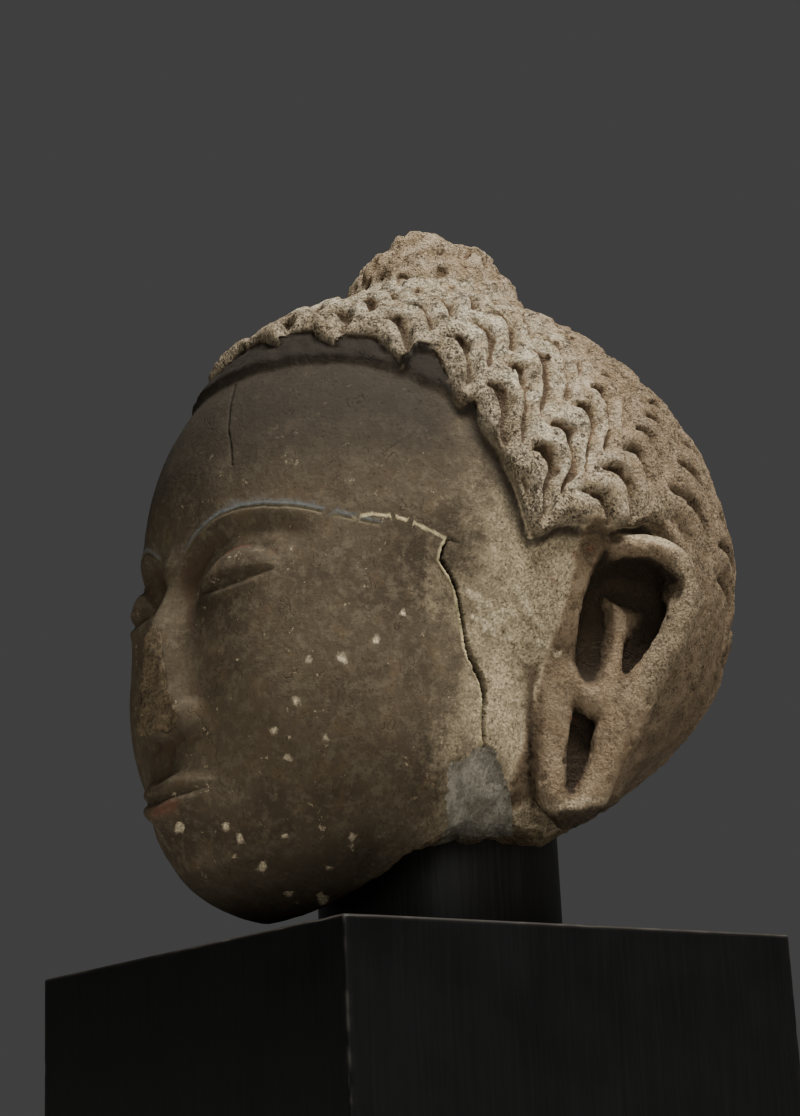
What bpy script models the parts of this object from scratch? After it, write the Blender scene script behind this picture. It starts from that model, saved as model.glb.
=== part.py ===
"""Stucco head on a round post that rises from a square foot block.

Metres, +Z up. The origin is the centre of the block's underside, the face looks
along -Y and the figure's left side is +X. The head's own carving is written in
millimetres of the real head, as shares of HEAD_HEIGHT, in a frame of its own
whose origin is the centre of the block's top.
"""
import bpy
import numpy as np
from mathutils import Matrix

# Driving dimensions, metres
HEAD_HEIGHT = 0.364
CHIN_CLEARANCE = 0.011
BLOCK_SIDE = 0.250
BLOCK_HEIGHT = 0.150
BLOCK_EDGE = 0.0012
POST_DIAMETER = 0.116
POST_SETBACK = 0.020
POST_ENTRY = 0.045
POST_EDGE = 0.002
FIT_GAP = 0.0003

# The head in its own millimetres: heights above the block's top, y to the back
TOP_Z = 375.0
CHIN_Z = 11.0
BREAK_Z = 46.0
NAPE_RISE = 26.0
POST_Y = 20.0
MM = HEAD_HEIGHT / (TOP_Z - CHIN_Z)

# Fineness of the head's mesh, in the head's millimetres, and the faces it keeps
BLEND_VOXEL = 5.0
CARVING_VOXEL = 3.0
HEAD_FACES = 8650
WEAR_ROUNDS = 1

SKULL_CENTRE = np.array([0.0, 28.0, 189.5])
SKULL_RADII = np.array([121.0, 153.0, 134.0])

# Hair: rows of crescent locks in columns that run up to a pole behind the crown
HAIR_POLE = np.array([0.0, 0.66, 0.75])
COLUMN_EDGES = np.array([0, 15, 29.5, 44, 58, 72, 84, 96.5, 117, 138, 159, 180.0])
HAIRLINE_ANGLES = np.array([0, 15, 30, 45, 60, 70, 79, 84, 88, 92, 98, 108, 114, 122, 132.0])
HAIRLINE = np.array([98, 96, 91.5, 89.5, 91, 95.5, 102, 105, 98, 92, 83, 82, 87, 98, 140.0])
HAIR_THICKNESS = 9.0
FIRST_STRAND_COLUMN = 7
FIRST_CLOSED_COLUMN = 5
# For each column from the middle outwards: the angle of its lowest rim, where across it
# the rim peaks, and how far it falls to the outer side
RIM_STARTS = np.array([80.5, 80.0, 79.8, 79.0, 86.0, 91.8, 91.0, 98, 98, 98, 98])
LOCK_PEAKS = np.array([-0.3, -0.3, -0.2, -0.4, -0.6, -0.5, -0.35, 0, 0, 0, 0])
OUTER_FALL = np.array([7.5, 7.5, 8.5, 12.0, 16.0, 14.0, 6.5, 7, 9, 9, 9])
INNER_FALL = 5.0
LOCK_SPACING = 7.8
STRAND_SPACING = 9.2
STRAND_STAGGER = 0.3
NAPE_ANGLES = np.array([96, 117, 138, 180.0])
NAPE_WORN = np.array([84, 76, 80, 100.0])
BARE_NAPE = (76.0, 112.0)
BED_HEIGHT = 4.0
ROPE_END = 0.6
ROPE_SWELL = 4.6
ROPE_SHARE = 0.68
GROOVE_PLACE = 0.84
LOCK_GROOVE = 6.8
RIM_SIDE = 2.3
UNDER_SIDE = 4.0
ROPE_CREST = 1.8
DEGREE_OF_ARC = 2.5

# Face, laid out on thirds from hairline to chin and fifths across
FACE_THIRD = 82.3
NOSE_BASE_Z = CHIN_Z + FACE_THIRD
BROW_Z = CHIN_Z + 2 * FACE_THIRD
EYE_Z = BROW_Z - 15.0
MOUTH_Z = NOSE_BASE_Z - FACE_THIRD / 3
EYE_WIDTH = 41.0
EYE_X = EYE_WIDTH
WING_X = EYE_WIDTH / 2
MOUTH_HALF = 0.74 * EYE_WIDTH

# Ear: its plane's centre and the directions to the back, up and out of it
EAR_CENTRE = np.array([120.0, 45.0, 112.0])
EAR_BACK = np.array([0.363, 0.884, -0.295])
EAR_UP = np.array([0.113, 0.273, 0.955])
EAR_OUT = np.array([0.925, -0.381, -0.001])
HOLLOW_FLOOR = -15.0


def smooth_step(low, high, value):
    t = np.clip((value - low) / (high - low), 0, 1)
    return t * t * (3 - 2 * t)


def mound(x, z, centre, radii, power=2.0):
    """A smooth bump, 1 at its centre and 0 at its rim."""
    d = ((x - centre[0]) / radii[0]) ** 2 + ((z - centre[1]) / radii[1]) ** 2
    return np.clip(1 - d, 0, 1) ** power


def groove(distance, half_width):
    return np.exp(-(distance / half_width) ** 2)


def grain(points, scale, seed, layers=3):
    """Sums of seeded waves: a smooth random field of about -1 to 1."""
    rng = np.random.default_rng(seed)
    total = np.zeros(len(points))
    for _ in range(layers * 6):
        direction = rng.normal(size=3)
        direction /= np.linalg.norm(direction)
        wave = rng.uniform(0.6, 1.6) * 2 * np.pi / scale
        total += np.sin(points @ direction * wave + rng.uniform(0, 2 * np.pi))
    return total / np.sqrt(layers * 6 / 2) / 1.6


def lock_angles(points):
    """Angle from the hair's pole, and angle around it from the forehead's middle."""
    q = (points - SKULL_CENTRE) / SKULL_RADII
    q /= np.linalg.norm(q, axis=1)[:, None]
    pole = HAIR_POLE / np.linalg.norm(HAIR_POLE)
    front = np.array([0.0, -pole[2], pole[1]])
    theta = np.degrees(np.arccos(np.clip(q @ pole, -1, 1)))
    psi = np.degrees(np.arctan2(q[:, 0], q @ front))
    return theta, psi


def height_above_skull(points):
    q = (points - SKULL_CENTRE) / SKULL_RADII
    return (np.linalg.norm(q, axis=1) - 1) * SKULL_RADII.mean()


def lock_columns(psi):
    """The column that each angle around the pole falls in, its width, and -1 to 1 across it."""
    side = np.abs(psi)
    column = np.searchsorted(COLUMN_EDGES, side, side="right") - 1
    column = np.clip(column, 0, len(COLUMN_EDGES) - 2)
    width = COLUMN_EDGES[column + 1] - COLUMN_EDGES[column]
    return column, width, 2 * (side - COLUMN_EDGES[column]) / width - 1


def rim_fall(column, width, across):
    """How far a lock's rim falls away from its peak, and how steeply."""
    peak = LOCK_PEAKS[column]
    outer = np.clip((across - peak) / (1 - peak), 0, 1)
    inner = np.clip((peak - across) / (1 + peak), 0, 1)
    slope = OUTER_FALL[column] * 1.7 * outer ** 0.7 / (1 - peak) * 2 / width
    return OUTER_FALL[column] * outer ** 1.7 + INNER_FALL * inner ** 2, slope


def groove_cut(lock, pitch, slope, across):
    """Depth of the crescent groove, thin inside and long outside, as a share."""
    steepness = np.hypot(1, slope)
    offset = (lock - GROOVE_PLACE + (lock < 0.2)) * pitch / steepness
    swell = smooth_step(-1.0, -0.2, across) * smooth_step(1.0, 0.7, across)
    half = np.where(offset > 0, RIM_SIDE, UNDER_SIDE) * (0.5 + 0.5 * swell)
    half *= 0.7 + 0.3 / steepness
    return np.exp(-np.abs(offset / half) ** 2.8) * swell ** 0.5


def hair_relief(points):
    """Height of the hair over the scalp: columns of rope-like locks, one over the other."""
    theta, psi = lock_angles(points)
    theta += 0.5 * grain(points, 70, 21)
    psi += 0.7 * grain(points, 80, 22)
    side = np.abs(psi)
    column, width, across = lock_columns(psi)
    strand = column >= FIRST_STRAND_COLUMN
    open_row = column < FIRST_CLOSED_COLUMN
    ends = np.clip(1 - across ** 2, 0, 1)
    fall, slope = rim_fall(column, width, across)
    rim_angle = RIM_STARTS[column] + fall
    hairline = np.interp(side, HAIRLINE_ANGLES, HAIRLINE)
    under_rope = np.minimum(hairline, rim_angle + ROPE_END + ROPE_SWELL * ends)
    inside = (np.where(open_row, under_rope, hairline) - theta) * DEGREE_OF_ARC
    # Under the first ropes a lower bed runs on to the hairline
    bed = open_row * BED_HEIGHT * smooth_step(-0.4, 1.6, hairline - theta)
    worn = np.where(strand, smooth_step(BARE_NAPE[0], BARE_NAPE[1], theta), 0)
    roll = np.clip(inside / 6.0, 0, 1)
    rise = HAIR_THICKNESS * (1 - 0.65 * worn) - bed
    height = bed + rise * np.sqrt(1 - (1 - roll) ** 2)
    spacing = np.where(strand, STRAND_SPACING, LOCK_SPACING)
    stagger = np.where(strand, STRAND_STAGGER * (column - FIRST_STRAND_COLUMN), 0)
    # Within a lock, 0 is its crisp upper rim and 1 the rim of the lock below
    lock = (theta - rim_angle) / spacing - stagger
    lock -= np.floor(lock)
    cut = groove_cut(lock, spacing * DEGREE_OF_ARC, slope, across)
    crest = np.clip(1 - ((lock / ROPE_SHARE - 0.35) / 0.65) ** 2, 0, 1)
    carved = LOCK_GROOVE * cut - ROPE_CREST * crest * ends ** 0.5
    lowest = np.interp(side, NAPE_ANGLES, NAPE_WORN)
    carved *= np.where(strand, smooth_step(lowest, lowest - 8, theta), 1.0)
    carved *= smooth_step(5, 16, theta) * smooth_step(1, 5, inside)
    return np.where(inside > 0, height - carved, bed)


def brow_line(x):
    """Height of the brow's arch above a point of the face."""
    arch = np.sin(np.pi * np.clip((x - 6) / 90, 0, 1) ** 0.85)
    return BROW_Z - 4 + 17 * arch


def eye_lines(x):
    """Place along an eye, its half-open lens, and the heights of its axis, lids and crease."""
    t = (x - EYE_X) / (EYE_WIDTH / 2)
    lens = np.clip(1 - t * t, 0, 1)
    axis = EYE_Z - 2 + 1.6 * t
    upper_edge = axis + 0.5 + 1.4 * lens
    lower_edge = axis - 4.2 * lens
    crease = axis + 15.0 * np.clip(1 - (t / 1.08) ** 2, 0, 1) ** 0.7
    return t, lens, axis, upper_edge, lower_edge, crease


def eye_relief(x, z):
    """A half-closed eye: a smooth ball, a heavy upper lid, a narrow opening."""
    t, lens, axis, upper_edge, lower_edge, crease = eye_lines(x)
    near = smooth_step(1.14, 0.94, np.abs(t))
    ball = 9.0 * np.clip(1 - (t / 1.7) ** 2 - ((z - axis - 3) / 31) ** 2, 0, 1) ** 1.9
    lid = 2.3 * smooth_step(-0.6, 0.6, z - upper_edge) * smooth_step(1.0, -5.0, z - crease)
    opening = smooth_step(0.6, -0.6, z - upper_edge) * smooth_step(-0.7, 0.9, z - lower_edge)
    lower_lid = 1.1 * groove(z - lower_edge + 2.0, 2.0)
    fold = 1.7 * groove(z - crease, 1.6)
    return ball + near * (lid + lower_lid - 1.8 * opening * lens ** 0.5 - fold)


def nose_relief(points, x, z):
    """A straight nose whose front is broken away, down to a raw stump."""
    rise = np.clip((BROW_Z + 2 - z) / (BROW_Z + 2 - NOSE_BASE_Z - 8), 0, 1)
    bridge = 4 + 23 * rise ** 1.3
    width = 8.0 + 8.0 * rise ** 1.5
    nose = bridge * np.exp(-(x / width) ** 2.4) * smooth_step(NOSE_BASE_Z - 2, NOSE_BASE_Z + 5, z)
    nose *= smooth_step(BROW_Z + 12, BROW_Z - 4, z)
    wing = 12 * mound(x, z, (0.72 * WING_X, NOSE_BASE_Z + 8), (9.5, 10), 0.8)
    loss = smooth_step(EYE_Z + 2, EYE_Z - 12, z)
    stump = 10.5 + 0.8 * grain(points, 12, 3) + (1 - loss) * 30
    nostril = 4 * mound(x, z, (9.5, NOSE_BASE_Z + 2), (5.5, 4.5), 1.0)
    return np.minimum(np.maximum(nose, wing), stump) - nostril


def mouth_relief(x, z):
    """Closed lips with full, even curves and quiet corners."""
    across = x / MOUTH_HALF
    line = MOUTH_Z + 2.6 * across ** 2 - 0.9 * groove(x, 6)
    span = np.clip(1 - across ** 2, 0, 1)
    low_span = np.clip(1 - (across / 0.88) ** 2, 0, 1)
    upper_height = 10.5 * span ** 0.65 - 1.8 * groove(x, 4.5) + 0.01
    lower_height = 12.5 * low_span ** 0.6 + 0.01
    up = (z - line) / upper_height
    down = (line - z) / lower_height
    upper = np.clip(1 - (1.9 * up - 0.9) ** 2, 0, 1) ** 0.8 * (up > 0) * span ** 0.5
    lower = np.clip(1 - (1.9 * down - 0.9) ** 2, 0, 1) ** 0.8 * (down > 0) * low_span ** 0.5
    swell = 6.5 * mound(x, z, (0, MOUTH_Z + 4), (50, 38), 1.5)
    corner = 1.6 * mound(x, z, (MOUTH_HALF + 3, MOUTH_Z + 3), (15, 15), 2.0)
    parting = 1.6 * groove(z - line, 1.5) * smooth_step(1.08, 0.85, across)
    philtrum = 1.8 * groove(x, 3.6) * mound(x, z, (0, MOUTH_Z + 18), (20, 11), 1.0)
    return swell + 5.2 * upper + 6.4 * lower - corner - parting - philtrum


def face_relief(points):
    """A calm, regular face: how far each point of the front stands forward."""
    x = np.abs(points[:, 0])
    z = points[:, 2]
    under_brow = z - brow_line(x)
    socket = mound(x, z, (0.85 * EYE_X, EYE_Z + 8), (1.3 * EYE_WIDTH, 34), 1.2)
    relief = -7.0 * socket * smooth_step(2.5, -9.0, under_brow)
    relief += 1.6 * groove(under_brow - 1, 6) * smooth_step(4, 20, x) * smooth_step(96, 66, x)
    relief += eye_relief(x, z) + nose_relief(points, x, z) + mouth_relief(x, z)
    relief += 2.5 * mound(x, z, (50, NOSE_BASE_Z + 14), (36, 40), 1.5)
    relief -= 3.8 * mound(x, z, (0, MOUTH_Z - 22), (28, 10), 1.2)
    relief += 5.0 * mound(x, z, (0, CHIN_Z + 20), (34, 24), 1.4)
    return relief * smooth_step(80, 62, x)


def break_height(points):
    """Lowest level kept: the neck's break, falling forward to the chin's underside."""
    x, y = points[:, 0], points[:, 1]
    fall = smooth_step(-26, -80, y)
    level = BREAK_Z - (BREAK_Z - CHIN_Z) * fall
    rough = 1.6 * grain(np.stack([x, y, 0 * x], 1), 22, 5) * (1 - fall)
    return level + rough + NAPE_RISE * smooth_step(22, 96, y)


def apply_modifiers(obj):
    depsgraph = bpy.context.evaluated_depsgraph_get()
    mesh = bpy.data.meshes.new_from_object(obj.evaluated_get(depsgraph))
    obj.modifiers.clear()
    old = obj.data
    obj.data = mesh
    bpy.data.meshes.remove(old)


def get_points(obj):
    flat = np.empty(3 * len(obj.data.vertices))
    obj.data.vertices.foreach_get("co", flat)
    return flat.reshape(-1, 3) / MM


def set_points(obj, points):
    obj.data.vertices.foreach_set("co", (points * MM).ravel())
    obj.data.update()


def ellipsoid(name, centre, radii, axes=None, squareness=2.0):
    """A sphere stretched to three radii, in the head's millimetres, or a squarer one."""
    bpy.ops.mesh.primitive_ico_sphere_add(subdivisions=4, radius=1)
    obj = bpy.context.object
    obj.name = name
    if squareness != 2.0:
        unit = np.array([vertex.co for vertex in obj.data.vertices])
        size = (np.abs(unit) ** squareness).sum(axis=1) ** (1 / squareness)
        obj.data.vertices.foreach_set("co", (unit / size[:, None]).ravel())
    turn = Matrix.Identity(4)
    if axes is not None:
        turn = Matrix(np.array(axes).T.tolist()).to_4x4()
    place = Matrix.Translation(np.array(centre) * MM)
    stretch = Matrix.Diagonal((*(np.array(radii) * MM), 1))
    obj.data.transform(place @ turn @ stretch)
    return obj


def join(objects, name):
    bpy.ops.object.select_all(action="DESELECT")
    for obj in objects:
        obj.select_set(True)
    bpy.context.view_layer.objects.active = objects[0]
    bpy.ops.object.join()
    joined = bpy.context.object
    joined.name = name
    return joined


def blend(obj, voxel, rounds):
    """Fuse overlapping bodies into one skin and soften where they meet."""
    remesh = obj.modifiers.new("Fuse", "REMESH")
    remesh.mode = "VOXEL"
    remesh.voxel_size = voxel * MM
    soften = obj.modifiers.new("Soften", "SMOOTH")
    soften.factor = 0.5
    soften.iterations = rounds
    apply_modifiers(obj)


def head_mass():
    """Skull, face, jaw and nape, blended as one soft mass."""
    parts = [
        ellipsoid("Skull", SKULL_CENTRE, SKULL_RADII + 1),
        ellipsoid("Face", (0, -16, 129), (100, 111, 117), squareness=2.45),
        ellipsoid("Lower face", (0, -60, 66), (68, 66, 54)),
        ellipsoid("Nape", (0, 34, 82), (84, 72, 58)),
    ]
    for side in (1, -1):
        axes = ear_axes(side)
        parts.append(ellipsoid("Jaw", (side * 44, -20, 84), (50, 62, 52)))
        parts.append(ellipsoid("Ear root", ear_point(-12, -2, -25, side), (28, 62, 15), axes))
    mass = join(parts, "Head mass")
    blend(mass, BLEND_VOXEL, 22)
    return mass


def smooth_path(points, steps):
    """Points along a Catmull-Rom curve through the given ones."""
    p = np.array([points[0], *points, points[-1]], float)
    out = []
    for i in range(1, len(p) - 2):
        for t in np.linspace(0, 1, steps, endpoint=False):
            out.append(0.5 * (2 * p[i] + (p[i + 1] - p[i - 1]) * t
                              + (2 * p[i - 1] - 5 * p[i] + 4 * p[i + 1] - p[i + 2]) * t ** 2
                              + (3 * p[i] - p[i - 1] - 3 * p[i + 1] + p[i + 2]) * t ** 3))
    out.append(p[-2])
    return np.array(out)


def ear_point(back, up, out, side):
    point = EAR_CENTRE + back * EAR_BACK + up * EAR_UP + out * EAR_OUT
    return point * np.array([side, 1, 1])


def ear_places(points):
    """How far each point lies to the back, up and out of the ear on its side of the head."""
    local = np.stack([np.abs(points[:, 0]), points[:, 1], points[:, 2]], 1) - EAR_CENTRE
    return local @ EAR_BACK, local @ EAR_UP, local @ EAR_OUT


def ear_hollow(points):
    """Depth of the cut inside the ear: a long bowl behind the cheek and a pit under the rim's top."""
    back, up, out = ear_places(points)
    bowl = np.hypot((back + 22.5 + 0.1 * (up - 24)) / 8.5, (up - 23) / 28)
    pit = np.hypot((back + 10) / 17, (up - 45) / 10)
    share = smooth_step(1.3, 0.6, np.minimum(bowl, pit))
    return share * np.clip(out - HOLLOW_FLOOR, 0, None)


def ear_axes(side):
    axes = np.array([EAR_BACK, EAR_UP, EAR_OUT]) * np.array([side, 1, 1])
    axes[2] = np.cross(axes[0], axes[1])
    return axes


def ear(side):
    """A long ear: rolled rim, inner ridge and a slit lobe, built of fused beads."""
    axes = ear_axes(side)
    # Each path: back, up, out, half width, half thickness
    rim = [(-34, 46, -7, 6, 7), (-23, 57, -2, 6.5, 8), (-8, 63, 2, 6.5, 8), (6, 59, 4, 7, 8),
           (13, 42, 5, 7, 8), (11.5, 22, 4, 7, 8), (5, 2, 1, 8, 8), (-1, -20, -2, 11, 8),
           (-4, -40, -4, 8, 8), (-7, -57, -6, 8, 9), (-15, -66, -7, 8, 9)]
    wall = [(-23, 58, -14, 6, 11), (-6, 63, -11, 6, 12), (10, 56, -9, 6, 12), (15, 40, -8, 6, 12),
            (13, 20, -8, 6, 12), (6, 0, -9, 8, 11)]
    front = [(-36, -7, -9, 13, 10), (-32, -28, -7, 9.5, 8), (-28.5, -45, -8, 7.5, 8),
             (-24, -61, -8, 6.5, 9)]
    ridge = [(-8, 36, -19, 5, 6), (-11, 26, -13, 6, 8), (-13, 10, -8, 7, 8), (-14, -9, -5, 13, 8)]
    parts = []
    for path in (rim, wall, front, ridge):
        for back, up, out, half, thick in smooth_path(path, 5):
            parts.append(ellipsoid("Bead", ear_point(back, up, out, side),
                                   (half, half, thick), axes))
    parts.append(ellipsoid("Shell", ear_point(-8, 28, -24, side), (29, 40, 12), axes))
    parts.append(ellipsoid("Lobe back", ear_point(-17, -42, -21, side), (17, 30, 12), axes))
    return parts


def topknot():
    return [ellipsoid("Topknot", (0, 34, 322), (46, 47, 52))]


def carve(head):
    """Move the skin's points: hair, face, worn topknot and the break below."""
    points = get_points(head)
    out = (points - SKULL_CENTRE) / SKULL_RADII ** 2
    out /= np.linalg.norm(out, axis=1)[:, None]
    scalp = smooth_step(13, 6, np.abs(height_above_skull(points)))
    hair = hair_relief(points) * scalp
    face = face_relief(points) * smooth_step(-20, -50, points[:, 1]) * (hair == 0)
    moved = points + out * hair[:, None] + np.array([0, -1.0, 0]) * face[:, None]
    crumble = smooth_step(12, 20, height_above_skull(points)) * (points[:, 2] > 315)
    rough = 0.7 * grain(points, 11, 11) + grain(points, 19, 12) + grain(points, 37, 13)
    moved += out * (1.7 * rough * crumble)[:, None]
    floor = break_height(moved)
    moved[:, 2] = np.maximum(moved[:, 2], floor)
    outwards = EAR_OUT * np.stack([np.sign(points[:, 0]), 0 * hair + 1, 0 * hair + 1], 1)
    moved -= outwards * ear_hollow(points)[:, None]
    set_points(head, moved)


def material(name, colour, roughness, metallic=0.0):
    mat = bpy.data.materials.new(name)
    mat.use_nodes = True
    shader = mat.node_tree.nodes["Principled BSDF"]
    shader.inputs["Base Color"].default_value = (*colour, 1)
    shader.inputs["Roughness"].default_value = roughness
    shader.inputs["Metallic"].default_value = metallic
    return mat


def make_head(post_top):
    mass = head_mass()
    head = join([mass] + ear(1) + ear(-1) + topknot(), "stucco_head")
    blend(head, CARVING_VOXEL, 3)
    carve(head)
    soften = head.modifiers.new("Wear the edges", "SMOOTH")
    soften.factor = 0.5
    soften.iterations = WEAR_ROUNDS
    thin = head.modifiers.new("Thin out", "DECIMATE")
    thin.ratio = min(1.0, HEAD_FACES / (2 * len(head.data.polygons)))
    thin.use_collapse_triangulate = True
    apply_modifiers(head)
    lift = BLOCK_HEIGHT + CHIN_CLEARANCE - CHIN_Z * MM
    shift = Matrix.Translation((0, POST_SETBACK - POST_Y * MM, lift))
    head.data.transform(shift)
    cutter = cylinder("Post socket cutter", POST_DIAMETER / 2 + FIT_GAP,
                      BLOCK_HEIGHT + FIT_GAP, post_top + FIT_GAP)
    cutter.hide_render = True
    cutter.display_type = "WIRE"
    socket = head.modifiers.new("Post socket", "BOOLEAN")
    socket.operation = "DIFFERENCE"
    socket.solver = "EXACT"
    socket.object = cutter
    head.data.materials.clear()
    head.data.materials.append(material("Aged stucco", (0.36, 0.27, 0.18), 0.85))
    return head


def cylinder(name, radius, bottom, top):
    bpy.ops.mesh.primitive_cylinder_add(vertices=64, radius=radius, depth=top - bottom,
                                        location=(0, POST_SETBACK, (bottom + top) / 2))
    obj = bpy.context.object
    obj.name = name
    return obj


def soften_edges(obj, width):
    bevel = obj.modifiers.new("Soft edges", "BEVEL")
    bevel.width = width
    bevel.segments = 2
    bevel.limit_method = "ANGLE"


def make_post(top):
    post = cylinder("post", POST_DIAMETER / 2, BLOCK_HEIGHT + FIT_GAP, top)
    soften_edges(post, POST_EDGE)
    post.data.materials.append(material("Black lacquered metal", (0.02, 0.02, 0.021), 0.45))
    return post


def make_block():
    bpy.ops.mesh.primitive_cube_add(size=1, location=(0, 0, BLOCK_HEIGHT / 2))
    block = bpy.context.object
    block.name = "foot_block"
    block.scale = (BLOCK_SIDE, BLOCK_SIDE, BLOCK_HEIGHT)
    bpy.ops.object.transform_apply(location=False, rotation=False, scale=True)
    soften_edges(block, BLOCK_EDGE)
    block.data.materials.append(material("Black painted wood", (0.03, 0.03, 0.03), 0.5))
    return block


def main():
    for obj in list(bpy.data.objects):
        bpy.data.objects.remove(obj, do_unlink=True)
    break_level = BLOCK_HEIGHT + CHIN_CLEARANCE + (BREAK_Z - CHIN_Z) * MM
    post_top = break_level + POST_ENTRY
    make_block()
    make_post(post_top)
    make_head(post_top)


main()
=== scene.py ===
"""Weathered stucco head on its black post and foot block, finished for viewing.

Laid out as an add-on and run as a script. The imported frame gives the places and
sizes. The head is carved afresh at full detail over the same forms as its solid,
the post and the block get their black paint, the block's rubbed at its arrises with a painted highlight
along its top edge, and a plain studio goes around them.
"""

import bmesh
import bpy
import numpy as np
from mathutils import Color, Matrix, Vector


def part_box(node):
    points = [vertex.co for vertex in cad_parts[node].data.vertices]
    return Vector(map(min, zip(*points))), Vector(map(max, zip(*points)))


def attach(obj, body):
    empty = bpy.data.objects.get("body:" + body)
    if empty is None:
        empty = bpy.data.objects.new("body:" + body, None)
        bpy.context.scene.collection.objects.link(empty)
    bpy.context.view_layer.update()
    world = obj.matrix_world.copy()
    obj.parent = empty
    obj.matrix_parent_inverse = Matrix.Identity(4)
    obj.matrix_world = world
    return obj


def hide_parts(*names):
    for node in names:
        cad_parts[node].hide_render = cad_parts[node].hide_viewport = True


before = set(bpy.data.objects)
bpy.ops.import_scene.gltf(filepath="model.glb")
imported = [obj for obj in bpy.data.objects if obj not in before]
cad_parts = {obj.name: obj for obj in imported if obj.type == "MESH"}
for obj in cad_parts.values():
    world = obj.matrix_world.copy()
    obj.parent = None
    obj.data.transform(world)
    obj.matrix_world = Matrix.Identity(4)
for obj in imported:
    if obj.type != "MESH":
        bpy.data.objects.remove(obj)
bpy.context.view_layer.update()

bl_info = {
    "name": "Stucco head on a foot block",
    "version": (1, 0, 0),
    "blender": (4, 5, 0),
    "location": "3D View > Sidebar > Head",
    "description": "Models and finishes a weathered stucco head, its post and its foot block",
    "category": "Object",
}

# Places taken from the frame, metres
HEAD_LOW, HEAD_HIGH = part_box("stucco_head")
POST_LOW, POST_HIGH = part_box("post")
BLOCK_LOW, BLOCK_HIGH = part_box("foot_block")
POST_CENTRE_Y = (POST_LOW[1] + POST_HIGH[1]) / 2
POST_RADIUS = (POST_HIGH[0] - POST_LOW[0]) / 2
SOCKET_GAP = 0.0003

# Fineness of the post's and the block's meshes, and how little the dull pieces shine
ROUND_SIDES = 192
SMOOTH_ANGLE = np.radians(35)
BLOCK_CUTS = 70
BLOCK_EDGE_ZONE = 0.0025
DULL_SPECULAR = 0.12

# Plain studio, metres
FLOOR_RADIUS = 6.0
FLOOR_DROP = 0.0005
LIT_POINT = (0, 0.02, 0.34)
KEY_PLACE = (0.66, -0.02, 1.5)
FILL_PLACE = (1.6, -0.9, 0.7)

# The head in its own millimetres: heights above the block's top, y to the back
CARVED_HEIGHT = 362.5
BREAK_Z = 46.0
CHIN_Z = 11.0
NAPE_RISE = 26.0
POST_Y = 20.0
MM = (HEAD_HIGH[2] - HEAD_LOW[2]) / CARVED_HEIGHT
HEAD_SHIFT = np.array([0.0, POST_CENTRE_Y - POST_Y * MM, BLOCK_HIGH[2]])

# Fineness of the head's mesh, in the head's millimetres, and the faces it keeps
BLEND_VOXEL = 5.0
CARVING_VOXEL = 1.35
SURFACE_VOXEL = 1.15
HEAD_FACES = 172000

SKULL_CENTRE = np.array([0.0, 28.0, 189.5])
SKULL_RADII = np.array([121.0, 153.0, 134.0])

# Hair: rows of crescent locks in columns that run up to a pole behind the crown
HAIR_POLE = np.array([0.0, 0.66, 0.75])
COLUMN_EDGES = np.array([0, 15, 29.5, 44, 58, 72, 84, 96.5, 117, 138, 159, 180.0])
HAIRLINE_ANGLES = np.array([0, 15, 30, 45, 60, 70, 79, 84, 88, 92, 98, 108, 114, 122, 132.0])
HAIRLINE = np.array([98, 96, 91.5, 89.5, 91, 95.5, 102, 105, 98, 92, 83, 82, 87, 98, 140.0])
HAIR_THICKNESS = 9.0
FIRST_STRAND_COLUMN = 7
FIRST_CLOSED_COLUMN = 5
# For each column from the middle outwards: the angle of its lowest rim, where across it
# the rim peaks, and how far it falls to the outer side
RIM_STARTS = np.array([80.5, 80.0, 79.8, 79.0, 86.0, 91.8, 91.0, 98, 98, 98, 98])
LOCK_PEAKS = np.array([-0.3, -0.3, -0.2, -0.4, -0.6, -0.5, -0.35, 0, 0, 0, 0])
OUTER_FALL = np.array([7.5, 7.5, 8.5, 12.0, 16.0, 14.0, 6.5, 7, 9, 9, 9])
INNER_FALL = 5.0
LOCK_SPACING = 7.8
STRAND_SPACING = 9.2
STRAND_STAGGER = 0.3
NAPE_ANGLES = np.array([96, 117, 138, 180.0])
NAPE_WORN = np.array([84, 76, 80, 100.0])
BARE_NAPE = (76.0, 112.0)
BED_HEIGHT = 4.0
ROPE_END = 0.6
ROPE_SWELL = 4.6
ROPE_SHARE = 0.68
GROOVE_PLACE = 0.84
LOCK_GROOVE = 6.8
RIM_SIDE = 2.3
UNDER_SIDE = 4.0
ROPE_CREST = 1.8
DEGREE_OF_ARC = 2.5


# Topknot, worn to a stump, and the height at which it starts
KNOT_CENTRE = (0, 34, 322)
KNOT_RADII = (46, 47, 52)
KNOT_FOOT_Z = 315

# Face, laid out on thirds from hairline to chin and fifths across
FACE_THIRD = 82.3
NOSE_BASE_Z = CHIN_Z + FACE_THIRD
BROW_Z = CHIN_Z + 2 * FACE_THIRD
EYE_Z = BROW_Z - 15.0
MOUTH_Z = NOSE_BASE_Z - FACE_THIRD / 3
EYE_WIDTH = 41.0
EYE_X = EYE_WIDTH
WING_X = EYE_WIDTH / 2
MOUTH_HALF = 0.74 * EYE_WIDTH

# Ear: its plane's centre and the directions to the back, up and out of it
EAR_CENTRE = np.array([120.0, 45.0, 112.0])
EAR_BACK = np.array([0.363, 0.884, -0.295])
EAR_UP = np.array([0.113, 0.273, 0.955])
EAR_OUT = np.array([0.925, -0.381, -0.001])
HOLLOW_FLOOR = -15.0

# The photograph's view, in the row's frame, and its size in pixels
PHOTO_SIZE = (800, 1116)
VIEW_YAW, VIEW_PITCH, VIEW_ROLL = np.radians([52.737, 16.375, -2.618])
VIEW_PLACE = np.array([0.8303, -0.6258, 0.0399])
LENS = 70.68
SENSOR = 36.0

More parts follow.
